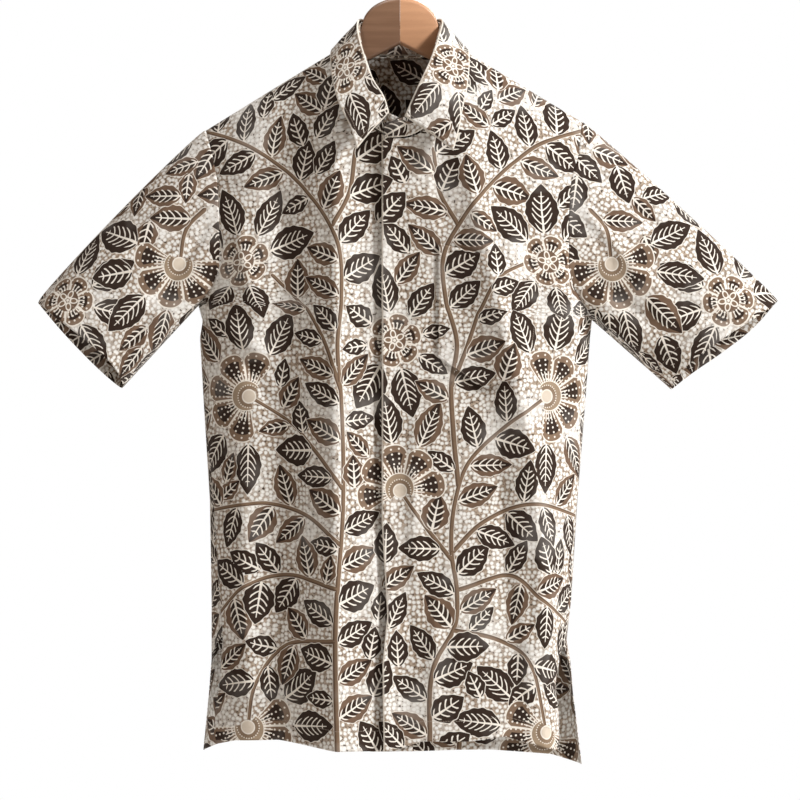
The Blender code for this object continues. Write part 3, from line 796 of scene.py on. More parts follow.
def motifAttributes(flat, faceCorners, drawing):
    # for every face corner: its place in the nearest leaf of each layer, the nearest stem and flower
    corner = flat[faceCorners]
    middle = corner.mean(axis=1)
    out = {}
    for name, layer in zip(("leafA", "leafB", "leafC"), leafLayers(drawing.leaves)):
        out[name] = value = np.full(corner.shape[:2] + (3,), -9.0)
        best = np.full(len(corner), 1e9)
        for s, t, angle, length, narrow in layer:
            u, v = turned(middle, s, t, angle, abs(length))
            far = np.hypot((u - 0.5) / 0.5, v * narrow / 0.34)
            on = (far < best) & (u > -0.14) & (u < 1.14) & (np.abs(v * narrow) < 0.42)
            best[on] = far[on]
            u, v = turned(corner[on], s, t, angle, abs(length))
            value[on] = np.stack([u, v * narrow, np.full(u.shape, length)], axis=-1)
    out["stem"] = value = np.full(corner.shape[:2] + (3,), 99.0)
    best = np.full(len(corner), 12.0)
    for p, width in drawing.stems:
        run = runLength(p)
        for k, way in enumerate(np.diff(p, axis=0)):
            angle = math.atan2(way[1], way[0])
            along, side = turned(middle, *p[k], angle, 1)
            far = np.hypot(side, np.maximum(np.maximum(-along, along - np.hypot(*way)), 0))
            on = far < best
            best[on] = far[on]
            along, side = turned(corner[on], *p[k], angle, 1)
            along = along + run[k]
            over = np.maximum(np.maximum(along - run[-1], -along), 0)
            taper = width * (1 - 0.3 * np.clip(along / run[-1], 0, 1))
            value[on] = np.stack([side, over, taper], axis=-1)
    out["flower"] = value = np.full(corner.shape[:2] + (3,), 9.0)
    best = np.full(len(corner), 1e9)
    for s, t, angle, radius in drawing.flowers:
        far = np.hypot(middle[:, 0] - s, middle[:, 1] - t) / abs(radius)
        on = (far < best) & (far < 1.25)
        best[on] = far[on]
        u, v = turned(corner[on], s, t, angle, abs(radius))
        value[on] = np.stack([u, v, np.full(u.shape, radius)], axis=-1)
    return out


def link(thing):
    bpy.context.collection.objects.link(thing)
    return thing


def newPiece(name, points, faces, look):
    # points in millimetres
    mesh = bpy.data.meshes.new(name)
    mesh.from_pydata((np.array(points) * mm).tolist(), [], faces)
    mesh.shade_smooth()
    mesh.materials.append(look)
    return link(bpy.data.objects.new(name, mesh))


def thinShell(look, cloth, drawing, stitchAt, stitched, paintedHighlight=(), thick=shirt["clothThickness"]):
    # a closed shell of the cloth's thickness; both faces carry the same dye
    rows, columns = cloth.grid.shape[:2]
    count = rows * columns
    both = [cloth.grid + cloth.normal * half for half in (thick / 2, -thick / 2)]
    points = np.concatenate(both).reshape(-1, 3)
    index = np.arange(count).reshape(rows, columns)
    quads = np.stack([index[:-1, :-1], index[:-1, 1:], index[1:, 1:], index[1:, :-1]], axis=-1).reshape(-1, 4)
    rim = np.concatenate([index[0, :], index[1:, -1], index[-1, -2::-1], index[-2:0:-1, 0]])
    after = np.roll(rim, -1)
    sides = np.stack([after, rim, rim + count, after + count], axis=-1)
    faces = np.concatenate([quads, quads[:, ::-1] + count, sides])
    if cloth.way < 0:
        faces = faces[:, ::-1]
    piece = newPiece(cloth.name, points, faces.tolist(), look)
    flat = np.tile(cloth.flat.reshape(-1, 2), (2, 1))
    toStitch, toHighlit = (
        np.tile(edgeDistance(cloth.flat, edges).reshape(-1), 2) for edges in (stitched, paintedHighlight)
    )
    motifs = motifAttributes(flat, faces, drawing)
    held = [(name, "FLOAT_VECTOR", "CORNER", value) for name, value in motifs.items()]
    held.append(("cloth", "FLOAT_VECTOR", "POINT", np.column_stack([flat, toStitch - stitchAt])))
    # how far each point lies from the pressed edges that get a painted highlight
    held.append(("highlitEdgeDistance", "FLOAT", "POINT", toHighlit))
    for name, kind, domain, value in held:
        field = "vector" if kind == "FLOAT_VECTOR" else "value"
        piece.data.attributes.new(name, kind, domain).data.foreach_set(field, value.astype(np.float32).ravel())
    print(cloth.name, "faces", len(faces), "leaves", len(drawing.leaves))
    return piece


def edgeDistance(flat, edges):
    # how far each point lies from the named edges, laid flat
    out = np.full(flat.shape[:2], 1e3)
    for edge in edges:
        run = {"top": flat[:, :, 1] - flat[0, :, 1], "foot": flat[:, :, 1] - flat[-1, :, 1],
               "first": flat[:, :, 0] - flat[:, :1, 0], "last": flat[:, :, 0] - flat[:, -1:, 0]}[edge]
        out = np.minimum(out, np.abs(run))
    return out


def linear(code):
    # an sRGB hex colour as linear RGBA
    c = [int(code[k : k + 2], 16) / 255 for k in (1, 3, 5)]
    return (*[v / 12.92 if v <= 0.04045 else ((v + 0.055) / 1.055) ** 2.4 for v in c], 1.0)


def add(tree, kind, inputs, out=0, **settings):
    # one node with its settings and links; kind may end in an operation; gives back one output
    kind, _, operation = kind.partition(" ")
    n = tree.nodes.new("ShaderNode" + kind)
    if operation:
        n.operation = operation
    for name, value in settings.items():
        setattr(n, name, value)
    for place, value in inputs.items() if isinstance(inputs, dict) else enumerate(inputs):
        if isinstance(value, bpy.types.NodeSocket):
            tree.links.new(value, n.inputs[place])
        else:
            n.inputs[place].default_value = value
    return n.outputs[out]


dye = {
    "cream": "#e9e8e4",
    "line": "#e9e3d9",
    "cellLine": "#83715f",
    "cellPale": "#b3a392",
    "speck": "#42352a",
    "dark": "#2e1f15",
    "taupe": "#6b5544",
    "stem": "#7b6551",
    "stemShade": "#604c3c",
    "petal": "#7d6754",
    "ring": "#98856f",
    "ringInner": "#836f5b",
    "ball": "#cabdac",
    # the painted highlight along pressed edges
    "paintedHighlight": "#e8e1d5",
    "sewingThread": "#a3978a",
    "cellSize": 5.1,  # mm across a wax dot
    "thread": 0.9,  # mm; the real 0.35 mm thread is too fine to show, so it is drawn this coarse
}


def paint(t, share, under, over):
    # a colour is a socket, a hex code or a name from the dyes
    under, over = (linear(dye.get(c, c)) if isinstance(c, str) else c for c in (under, over))
    return add(t, "Mix", {0: share, 6: under, 7: over}, out=2, data_type="RGBA", clamp_factor=True)


def startMaterial(name):
    look = bpy.data.materials.new(name)
    look.use_nodes = True
    return look, look.node_tree, look.node_tree.nodes["Principled BSDF"]


def startMotif(name):
    # a group that takes a place in the motif and its signed size, and gives its cover and colour
    group = bpy.data.node_groups.new(name, "ShaderNodeTree")
    group.interface.new_socket("Place", in_out="INPUT", socket_type="NodeSocketVector")
    for socket, kind in (("Cover", "NodeSocketFloat"), ("Colour", "NodeSocketColor")):
        group.interface.new_socket(socket, in_out="OUTPUT", socket_type=kind)
    parts = group.nodes.new("ShaderNodeSeparateXYZ")
    group.links.new(group.nodes.new("NodeGroupInput").outputs[0], parts.inputs[0])
    return group, group.nodes.new("NodeGroupOutput"), *parts.outputs


def attributeParts(t, name):
    parts = t.nodes.new("ShaderNodeSeparateXYZ")
    t.links.new(add(t, "Attribute", {}, out=1, attribute_name=name), parts.inputs[0])
    return parts.outputs


def reach(t, a, b):
    # the length of (a, b)
    squares = [add(t, "Math MULTIPLY", [x, x]) for x in (a, b)]
    return add(t, "Math SQRT", [add(t, "Math ADD", squares)])


def fromMiddle(t, turns):
    # the place in each repeat, -0.5 to 0.5
    return add(t, "Math SUBTRACT", [add(t, "Math FRACT", [turns]), 0.5])


def fromSpoke(t, angle, r, count, shift=0.0):
    # millimetres to the side of the nearest of a number of spokes
    place = fromMiddle(t, add(t, "Math MULTIPLY_ADD", [angle, count / (2 * math.pi), shift]))
    return add(t, "Math MULTIPLY", [place, add(t, "Math MULTIPLY", [r, 2 * math.pi / count])])


leafForm = {
    "halfWidth": 0.315,  # of the length
    "belly": (0.80, 0.86),  # exponents: under 1 the first moves the widest part down, the second rounds it
    "tip": 0.84,  # the midrib ends at this share of the length
    "rib": (1.35, 0.4),  # half the midrib's width in mm, at the stalk and the tip
    "veinSpacing": 7.6,
    "veinReach": 0.54,  # of the way to the edge
    "waveLength": 10.5,
    "wave": 0.6,
    "outline": (0.6, 1.0),  # mm past the edge where the wax line ends, soft by this much
    "dyed": (-0.15, 0.2),
    "line": (-0.1, 0.15),
    "dot": (0.95, 1.25),
    "veinBow": (0.075, 0.3),
    "veinsFrom": 1.5,  # mm along the midrib
    "veinsTo": 0.75,
    "heart": (0.5, 0.56),  # of the way to the edge
}


def leafMotif():
    # a wavy-edged leaf with a waxed outline, midrib and side veins that end in dots
    t, end, u, v, signed = startMotif("waxed leaf")
    size = add(t, "Math ABSOLUTE", [signed])
    isDark = add(t, "Math GREATER_THAN", [signed, 0.0])
    x = add(t, "Math MULTIPLY", [u, size])
    a = add(t, "Math MULTIPLY", [add(t, "Math ABSOLUTE", [v]), size])
    belly, rounding = leafForm["belly"]
    inside = add(t, "Clamp", [u, 0.0, 1.0])
    swell = add(t, "Math SINE", [add(t, "Math MULTIPLY", [add(t, "Math POWER", [inside, belly]), math.pi])])
    swell = add(t, "Math POWER", [add(t, "Math MAXIMUM", [swell, 0.0]), rounding])
    wave = add(t, "Math SINE", [add(t, "Math MULTIPLY_ADD", [x, 2 * math.pi / leafForm["waveLength"], 0.6])])
    wave = add(t, "Math MULTIPLY", [wave, add(t, "Math MULTIPLY", [swell, leafForm["wave"]])])
    wide = add(t, "Math MULTIPLY", [size, leafForm["halfWidth"]])
    wide = add(t, "Math MULTIPLY_ADD", [swell, wide, wave])
    past = add(t, "Math MULTIPLY", [add(t, "Math ABSOLUTE", [add(t, "Math SUBTRACT", [u, inside])]), size])
    gap = add(t, "Math ADD", [add(t, "Math SUBTRACT", [a, wide]), add(t, "Math MULTIPLY", [past, 1.6])])
    cover = add(t, "MapRange", [gap, *leafForm["outline"], 1.0, 0.0])
    fill = add(t, "MapRange", [gap, *leafForm["dyed"], 1.0, 0.0])
    ribHalf = add(t, "MapRange", [u, 0.0, leafForm["tip"], *leafForm["rib"]])
    rib = add(t, "MapRange", [add(t, "Math SUBTRACT", [a, ribHalf]), *leafForm["line"], 1.0, 0.0])
    rib = add(t, "Math MULTIPLY", [rib, add(t, "Math LESS_THAN", [u, leafForm["tip"]])])
    # side veins bow forward and end in a dot
    veinEnd = add(t, "Math MULTIPLY", [wide, leafForm["veinReach"]])
    bow = add(t, "Math MULTIPLY", [a, add(t, "Math MULTIPLY_ADD", [a, *leafForm["veinBow"]])])
    root = add(t, "Math SUBTRACT", [x, bow])
    away = fromMiddle(t, add(t, "Math ADD", [add(t, "Math DIVIDE", [root, leafForm["veinSpacing"]]), 20.2]))
    away = add(t, "Math MULTIPLY", [add(t, "Math ABSOLUTE", [away]), leafForm["veinSpacing"] * 0.76])
    far = add(t, "Math DIVIDE", [a, add(t, "Math MAXIMUM", [veinEnd, 0.4])])
    half = add(t, "MapRange", [far, 0.1, 1.0, 0.5, 0.85])
    vein = add(t, "MapRange", [add(t, "Math SUBTRACT", [away, half]), *leafForm["line"], 1.0, 0.0])
    vein = add(t, "Math MULTIPLY", [vein, add(t, "Math LESS_THAN", [far, 1.0])])
    dot = reach(t, add(t, "Math SUBTRACT", [a, veinEnd]), away)
    dot = add(t, "MapRange", [dot, *leafForm["dot"], 1.0, 0.0])
    vein = add(t, "Math MAXIMUM", [vein, dot])
    vein = add(t, "Math MULTIPLY", [vein, add(t, "Math LESS_THAN", [u, leafForm["veinsTo"]])])
    vein = add(t, "Math MULTIPLY", [vein, add(t, "Math GREATER_THAN", [root, leafForm["veinsFrom"]])])
    # a dark heart in a taupe leaf
    share = add(t, "Math DIVIDE", [a, add(t, "Math MAXIMUM", [wide, 0.4])])
    body = paint(t, add(t, "MapRange", [share, *leafForm["heart"], 1.0, 0.0]), "taupe", "dark")
    body = paint(t, isDark, body, "dark")
    body = paint(t, add(t, "Math MAXIMUM", [rib, vein]), body, "line")
    t.links.new(cover, end.inputs[0])
    t.links.new(paint(t, fill, "line", body), end.inputs[1])
    return t


# millimetres, as drawn at full size: rays from and to, their number, petals, width of a petal's taupe rim
flowerForms = {
    "rosette": (12.4, 19.5, 26, 6, 4.2),
    "side": (None, 27.5, 40, 8, 5.2),  # its rays start from a ring that is not quite round
}
flower = {
    "dotSpacing": 5.4,
    "dotPhase": 40.25,
    "ovals": 5,
    "ovalPhase": 10.3,
    "ovalHalfWidth": 3.3,
    "ovalMiddle": 7.3,
    "ovalLength": 4.8,
    "beads": 28,
    "beadSpacing": 2.8,
    "beadRing": 12.4,
    # where each form's edge starts and ends, in millimetres
    "middleDot": (1.5, 1.9),
    "ball": (6.0, 7.5),
    "ballRim": (7.7, 8.1),
    "bands": (12.0, 12.4),
    "bead": (0.55, 0.85),
    "crescentRim": (-1.1, -0.8),
    "petalRim": (0.95, 1.35),
    "petalDot": (0.95, 1.3),
    "ray": (0.5, 0.75),
    # the same as shares of an oval and in radians from the way the side flower opens
    "ovalRim": (1.0, 1.08),
    "ovalHeart": (0.6, 0.68),
    "opening": (1.945, 1.975),
    "crescent": (2.1, 2.15),
    "crescentRing": (3.0, 16.6),  # millimetres that it is off centre, and its radius
    "notch": (-0.22, 1.0),  # how deep the petals are parted, by the radius, and their reach
}


def rosetteMiddle(t, angle, r):
    # small ovals outlined in wax round a dot
    across = fromSpoke(t, angle, r, flower["ovals"], flower["ovalPhase"])
    across = add(t, "Math DIVIDE", [across, flower["ovalHalfWidth"]])
    out = add(t, "Math DIVIDE", [add(t, "Math SUBTRACT", [r, flower["ovalMiddle"]]), flower["ovalLength"]])
    oval = reach(t, across, out)
    middle = paint(t, add(t, "MapRange", [oval, *flower["ovalRim"], 0.0, 1.0]), "line", "taupe")
    middle = paint(t, add(t, "MapRange", [oval, *flower["ovalHeart"], 1.0, 0.0]), middle, "petal")
    return paint(t, add(t, "MapRange", [r, *flower["middleDot"], 1.0, 0.0]), middle, "line")


def sideMiddle(t, angle, r, pastIn):
    # a pale ball in a crescent of two bands with a row of beads between them
    bead = fromMiddle(t, add(t, "Math MULTIPLY", [angle, flower["beads"] / (2 * math.pi)]))
    bead = add(t, "Math MULTIPLY", [bead, flower["beadSpacing"]])
    bead = reach(t, bead, add(t, "Math SUBTRACT", [r, flower["beadRing"]]))
    middle = paint(t, add(t, "MapRange", [r, *flower["bands"], 0.0, 1.0]), "ringInner", "ring")
    middle = paint(t, add(t, "MapRange", [bead, *flower["bead"], 1.0, 0.0]), middle, "line")
    middle = paint(t, add(t, "MapRange", [pastIn, *flower["crescentRim"], 0.0, 1.0]), middle, "line")
    middle = paint(t, add(t, "MapRange", [r, *flower["ballRim"], 1.0, 0.0]), middle, "line")
    return paint(t, add(t, "MapRange", [r, *flower["ball"], 0.9, 0.0]), middle, "ball")


def sideCover(t, angle, r, pastIn):
    # it is open at the back, where only the crescent and the ball show
    swung = add(t, "Math ABSOLUTE", [angle])
    opened = add(t, "MapRange", [swung, *flower["opening"], 1.0, 0.0])
    crescent = add(t, "Math MULTIPLY", [add(t, "MapRange", [swung, *flower["crescent"], 1.0, 0.0]),
                                        add(t, "MapRange", [pastIn, 0.0, 0.3, 1.0, 0.0])])
    ball = add(t, "MapRange", [r, 7.9, 8.3, 1.0, 0.0])
    return add(t, "Math MAXIMUM", [opened, add(t, "Math MAXIMUM", [crescent, ball])])


def flowerMotif():
    # a rosette, or where the radius is negative a side flower that opens along its own +u
    t, end, u, v, signed = startMotif("waxed flower")
    size = add(t, "Math ABSOLUTE", [signed])
    full = add(t, "Math GREATER_THAN", [signed, 0.0])
    r = add(t, "Math MULTIPLY", [reach(t, u, v), size])
    angle = add(t, "Math ARCTAN2", [v, u])
    drawn = {}
    for kind, (rayIn, rayOut, rays, petals, rimWide) in flowerForms.items():
        if rayIn is None:
            rayIn = add(t, "Math MULTIPLY_ADD", [add(t, "Math COSINE", [angle]), *flower["crescentRing"]])
        pastIn = add(t, "Math SUBTRACT", [r, rayIn])
        share = fromMiddle(t, add(t, "Math MULTIPLY_ADD", [angle, petals / (2 * math.pi), 20.5]))
        # 0 in mid petal, 1 between two
        share = add(t, "Math MULTIPLY", [add(t, "Math ABSOLUTE", [share]), 2.0])
        notch = add(t, "Math POWER", [share, 3.0])
        edge = add(t, "Math MULTIPLY", [size, add(t, "Math MULTIPLY_ADD", [notch, *flower["notch"]])])
        gap = add(t, "Math SUBTRACT", [r, edge])
        cover = add(t, "MapRange", [gap, 0.1, 0.5, 1.0, 0.0])
        between = add(t, "Math MULTIPLY", [r, math.pi / petals])
        between = add(t, "Math MULTIPLY", [add(t, "Math SUBTRACT", [1.0, share]), between])
        rim = add(t, "Math MINIMUM", [add(t, "Math MULTIPLY", [gap, -1.0]), between])
        fill = add(t, "MapRange", [rim, *flower["petalRim"], 0.0, 1.0])
        inner = add(t, "Math MINIMUM", [add(t, "Math MULTIPLY", [gap, -0.65]), between])
        core = add(t, "MapRange", [inner, rimWide, rimWide + 0.6, 0.0, 1.0])
        # rows of dots on the petals
        row = fromMiddle(t, add(t, "Math DIVIDE", [r, flower["dotSpacing"]]))
        row = add(t, "Math MULTIPLY", [row, flower["dotSpacing"]])
        dots = reach(t, row, fromSpoke(t, angle, r, petals * 4, flower["dotPhase"]))
        petal = paint(t, core, "petal", "dark")
        petal = paint(t, add(t, "MapRange", [dots, *flower["petalDot"], 1.0, 0.0]), petal, "line")
        petal = paint(t, fill, "line", petal)
        # rays from the middle
        ray = add(t, "Math ABSOLUTE", [fromSpoke(t, angle, r, rays)])
        ray = add(t, "MapRange", [ray, *flower["ray"], 1.0, 0.0])
        ray = add(t, "Math MULTIPLY", [ray, add(t, "MapRange", [r, rayOut - 0.2, rayOut + 0.2, 1.0, 0.0])])
        if kind == "rosette":
            middle = rosetteMiddle(t, angle, r)
        else:
            middle = sideMiddle(t, angle, r, pastIn)
            cover = add(t, "Math MULTIPLY", [cover, sideCover(t, angle, r, pastIn)])
        petal = paint(t, ray, petal, "line")
        drawn[kind] = cover, paint(t, add(t, "MapRange", [pastIn, -0.2, 0.2, 0.0, 1.0]), middle, petal)
    (roundCover, roundColour), (sideOnly, sideColour) = drawn["rosette"], drawn["side"]
    t.links.new(add(t, "Mix", {0: full, 2: sideOnly, 3: roundCover}), end.inputs[0])
    t.links.new(paint(t, full, sideColour, roundColour), end.inputs[1])
    return t


plainWeave = {
    # scales of the noises, per millimetre
    "wanderRate": 0.11,
    "dyeCreep": 0.32,
    "speckRate": 0.36,
    "washedPatch": 0.016,
    "unevenDye": 0.03,
    "crumpleRate": 0.045,
    # of the way from one wax dot to the next
    "dotEdge": (0.26, 0.50),
    "speckGap": (0.44, 0.54),
    # millimetres
    "wander": 2.6,  # that the wax dots stray
    "stitch": 2.8,  # from one stitch to the next
    "threadHalf": 0.35,
    "weaveHeight": 0.05,
    "crumple": 3.2,
    "hemHeight": 0.35,
    "stitchDepth": 0.25,
}


def waxedGround(t, flat, washed):
    # round dots of wax with dye crept in between them, and a dark speck here and there
    stray = add(t, "TexNoise", {0: flat, 2: plainWeave["wanderRate"], 3: 2.0}, out=1)
    moved = add(t, "VectorMath MULTIPLY_ADD", [stray, (plainWeave["wander"], plainWeave["wander"], 0.0), flat])
    dots = {"Vector": moved, "Scale": 1 / dye["cellSize"], "Randomness": 0.72}
    near = add(t, "TexVoronoi", dots, voronoi_dimensions="2D")
    blot = add(t, "TexNoise", {0: flat, 2: plainWeave["dyeCreep"], 3: 3.0})
    between = paint(t, add(t, "MapRange", [blot, 0.38, 0.62, 0.0, 1.0]), "cellPale", "cellLine")
    between = paint(t, add(t, "MapRange", [washed, 0.48, 0.64, 0.0, 0.6]), between, "cream")
    ground = paint(t, add(t, "MapRange", [near, *plainWeave["dotEdge"], 1.0, 0.0]), between, "cream")
    speck = add(t, "TexNoise", {0: flat, 2: plainWeave["speckRate"], 3: 1.0})
    speck = add(t, "MapRange", [speck, 0.60, 0.64, 0.0, 1.0])
    speck = add(t, "Math MULTIPLY", [speck, add(t, "MapRange", [near, *plainWeave["speckGap"], 0.0, 1.0])])
    return paint(t, speck, ground, "speck")


def vines(t, colour):
    side, over, half = attributeParts(t, "stem")
    off = add(t, "Math SUBTRACT", [add(t, "Math ADD", [add(t, "Math ABSOLUTE", [side]), over]), half])
    colour = paint(t, add(t, "MapRange", [off, 0.35, 0.8, 1.0, 0.0]), colour, "line")
    band = paint(t, add(t, "MapRange", [side, 0.2, 1.0, 0.0, 1.0]), "stem", "stemShade")
    return paint(t, add(t, "MapRange", [off, -0.1, 0.2, 1.0, 0.0]), colour, band)


def batikCotton():
    # plain-woven cotton, wax-resist dyed and washed soft: matt, a little fuzzy at grazing angles,
    # the dye slightly uneven and the same on both faces
    look, t, shader = startMaterial("batik cotton")
    s, up, sewn = attributeParts(t, "cloth")
    flat = add(t, "CombineXYZ", [s, up, 0.0])
    washed = add(t, "TexNoise", {0: flat, 2: plainWeave["washedPatch"], 3: 3.0})
    colour = vines(t, waxedGround(t, flat, washed))
    leaf = leafMotif()
    for name, motif in (("leafA", leaf), ("leafB", leaf), ("leafC", leaf), ("flower", flowerMotif())):
        held = t.nodes.new("ShaderNodeGroup")
        held.node_tree = motif
        t.links.new(add(t, "Attribute", {}, out=1, attribute_name=name), held.inputs[0])
        colour = paint(t, held.outputs[0], colour, held.outputs[1])
    # uneven dye and age, paler where the wax took less of it
    colour = paint(t, add(t, "MapRange", [washed, 0.54, 0.72, 0.0, 0.14]), colour, "cream")
    tone = add(t, "TexNoise", {0: flat, 2: plainWeave["unevenDye"], 3: 4.0})
    tone = add(t, "MapRange", [tone, 0.3, 0.7, 0.93, 1.05])
    colour = add(t, "VectorMath SCALE", {0: colour, 3: tone})
    # painted highlight along the pressed edges, where a folded edge catches the light
    edge = add(t, "Attribute", {}, out=2, attribute_name="highlitEdgeDistance")
    colour = paint(t, add(t, "MapRange", [edge, 0.6, 2.0, 0.9, 0.0]), colour, "paintedHighlight")
    # stitches along hems and edges: short sunken dashes of pale thread
    half = plainWeave["threadHalf"]
    row = add(t, "MapRange", [add(t, "Math ABSOLUTE", [sewn]), half, half + 0.25, 1.0, 0.0])
    beat = add(t, "Math FRACT", [add(t, "Math DIVIDE", [add(t, "Math ADD", [s, up]), plainWeave["stitch"]])])
    stitch = add(t, "Math MULTIPLY", [row, add(t, "Math LESS_THAN", [beat, 0.7])])
    colour = paint(t, add(t, "Math MULTIPLY", [stitch, 0.45]), colour, "sewingThread")
    t.links.new(colour, shader.inputs["Base Color"])
    # plain weave, crumple, the hem's ridge and the sunken stitches
    turn = 2 * math.pi / dye["thread"]
    over, under = (add(t, "Math SINE", [add(t, "Math MULTIPLY", [way, turn])]) for way in (s, up))
    height = add(t, "TexNoise", {0: flat, 2: plainWeave["crumpleRate"], 3: 3.0})
    height = add(t, "Math MULTIPLY", [height, plainWeave["crumple"]])
    hem = add(t, "MapRange", [sewn, -0.8, 0.8, 1.0, 0.0])
    for form, rise in ((add(t, "Math MULTIPLY", [over, under]), plainWeave["weaveHeight"]),
                       (hem, plainWeave["hemHeight"]), (stitch, -plainWeave["stitchDepth"])):
        height = add(t, "Math MULTIPLY_ADD", [form, rise, height])
    bump = add(t, "Bump", {"Strength": 0.8, "Distance": mm, "Height": height})
    t.links.new(bump, shader.inputs["Normal"])
    shader.inputs["Roughness"].default_value = 0.86
    shader.inputs["IOR"].default_value = 1.5
    shader.inputs["Specular IOR Level"].default_value = 0.25
    shader.inputs["Sheen Weight"].default_value = 0.06
    shader.inputs["Sheen Roughness"].default_value = 0.5
    return look


def beech(name, early, late):
    # planed and lacquered beech: fine long grain with short darker flecks under a satin coat
    look, t, shader = startMaterial(name)
    where = add(t, "TexCoord", {}, out=3)
    scales = ((9.0, 90.0, 150.0), (5.0, 20.0, 38.0), (180.0, 900.0, 1500.0))
    grain, rings, flecks = (add(t, "Mapping", {0: where, 3: scale}) for scale in scales)
    grain = add(t, "TexNoise", {0: grain, 2: 1.0, 3: 4.0})
    rings = add(t, "TexNoise", {0: rings, 2: 1.0, 3: 2.0})
    flecks = add(t, "TexVoronoi", {"Vector": flecks, "Scale": 1.0})
    colour = paint(t, add(t, "MapRange", [grain, 0.35, 0.65, 0.0, 1.0]), early, late)
    colour = paint(t, add(t, "MapRange", [rings, 0.46, 0.66, 0.0, 0.5]), colour, late)
    colour = paint(t, add(t, "MapRange", [flecks, 0.0, 0.22, 0.35, 0.0]), colour, "#6d4327")
    t.links.new(colour, shader.inputs["Base Color"])
    t.links.new(add(t, "MapRange", [grain, 0.2, 0.8, 0.38, 0.52]), shader.inputs["Roughness"])
    bump = add(t, "Bump", {"Strength": 0.35, "Distance": 0.2 * mm, "Height": grain})
    t.links.new(bump, shader.inputs["Normal"])
    shader.inputs["Coat Weight"].default_value = 0.25
    shader.inputs["Coat Roughness"].default_value = 0.3
    return look


def polishedSteel():
    # drawn steel wire, nickel plated and polished: mirror-like with faint drawing lines and handling marks
    look, t, shader = startMaterial("plated steel wire")
    marks = add(t, "TexNoise", {0: add(t, "TexCoord", {}, out=3), 2: 420.0, 3: 3.0})
    t.links.new(paint(t, marks, "#b9b6b0", "#d2d0cb"), shader.inputs["Base Color"])
    t.links.new(add(t, "MapRange", [marks, 0.3, 0.7, 0.16, 0.3]), shader.inputs["Roughness"])
    shader.inputs["Metallic"].default_value = 1.0
    return look


def whitePaint():
    # emulsion on a floor: matt, with a faint unevenness
    look, t, shader = startMaterial("white painted floor")
    marks = add(t, "TexNoise", {0: add(t, "TexCoord", {}, out=3), 2: 3.0, 3: 3.0})
    t.links.new(paint(t, marks, "#f4f2ee", "#ffffff"), shader.inputs["Base Color"])
    shader.inputs["Roughness"].default_value = 0.9
    return look


# points across and down each piece; the body's rows above and below the armpits apart
detail = {
    "front": (88, 74, 200),
    "back": (160, 60, 180),
    "sleeve": (128, 90),
    "neck": 112,
    "collar": 26,
    "stand": 14,
    "pocket": (44, 56),
}
middles = {"body": (-5.0, 5.0, -500.0), "neck": (0.0, 0.0, -150.0), "pocket": (100.0, 5.0, -420.0)}


def bodyCloth(name, grid, armpitRow, pivot, way, facing):
    flat = unroll(grid, armpitRow, grid[armpitRow, :, 2], -1, pivot, grid[:, pivot, 0], way)
    return Cloth(name, grid, flat, middles["body"], facing)


across, above, below = detail["front"]
levels = bodyLevels(above, below)
frontRight, frontLeft = (
    bodyCloth(name, frontPanel(side, across, levels), above, 0, side, -1)
    for name, side in (("frontRightPanel", -1), ("frontLeftPanel", 1))
)
across, above, below = detail["back"]
backGrid = backPanel(across, bodyLevels(above, below))
way = 1 if backGrid[above, -1, 0] > backGrid[above, 0, 0] else -1
back = bodyCloth("backPanelCloth", backGrid, above, across // 2, way, 1)
print("body panels", frontRight.grid.shape, frontLeft.grid.shape, back.grid.shape)


def sleeveCloth(side, name):
    around, along = detail["sleeve"]
    grid = sleevePanel(side, around, along)
    axis = grid[-1].mean(axis=0) - grid[0].mean(axis=0)
    axis /= np.linalg.norm(axis)
    first = (grid[0] - grid[0].mean(axis=0)) @ axis
    flat = unroll(grid, 0, first, 1, around // 2, np.zeros(along + 1), 1)
    return Cloth(name, grid, flat, grid.mean(axis=(0, 1)))


sleeveRight, sleeveLeft = sleeveCloth(-1, "sleeveRightPanel"), sleeveCloth(1, "sleeveLeftPanel")


def neckCloth(name, grid):
    # a narrow band: s is the length of its middle line, t the way across it
    middle = runLength(grid[len(grid) // 2])
    across = np.linalg.norm(np.diff(grid, axis=0), axis=-1)
    t = -np.concatenate([np.zeros((1, grid.shape[1])), np.cumsum(across, axis=0)])
    s = np.tile(middle - middle[-1] / 2, (len(grid), 1))
    return Cloth(name, grid, np.stack([s, t], axis=-1), middles["neck"])


collar = neckCloth("collarFall", collarPanel(detail["neck"], detail["collar"]))
stand = neckCloth("collarBand", standPanel(detail["neck"], detail["stand"]))
pocketGrid = pocketPanel(frontLeft, *detail["pocket"])
pocketFlat = np.array([[frontLeft.laid(x, z) for x, _, z in row] for row in pocketGrid])
pocketCloth = Cloth("chestPocket", pocketGrid, pocketFlat, middles["pocket"])
print("sleeves, collar, stand and pocket made")


def onFront(x, z):
    # the two fronts meet at the placket's middle
    return (frontRight if x < -17 else frontLeft).laid(x, z)


def spread(*cloths):
    both = np.concatenate([c.flat.reshape(-1, 2) for c in cloths])
    return both.min(axis=0), both.max(axis=0)


# the back is drawn like the front, turned over, a little narrower and lower
backNarrow, backDrop = 0.96, 18
backVines = tuple(
    (tuple((-x * backNarrow, z - backDrop) for x, z in points), lean) for points, lean in frontVines
)
backFlowers = tuple(
    (-x * backNarrow, z - backDrop, None if opens is None else 180 - opens) for x, z, opens in frontFlowers
)
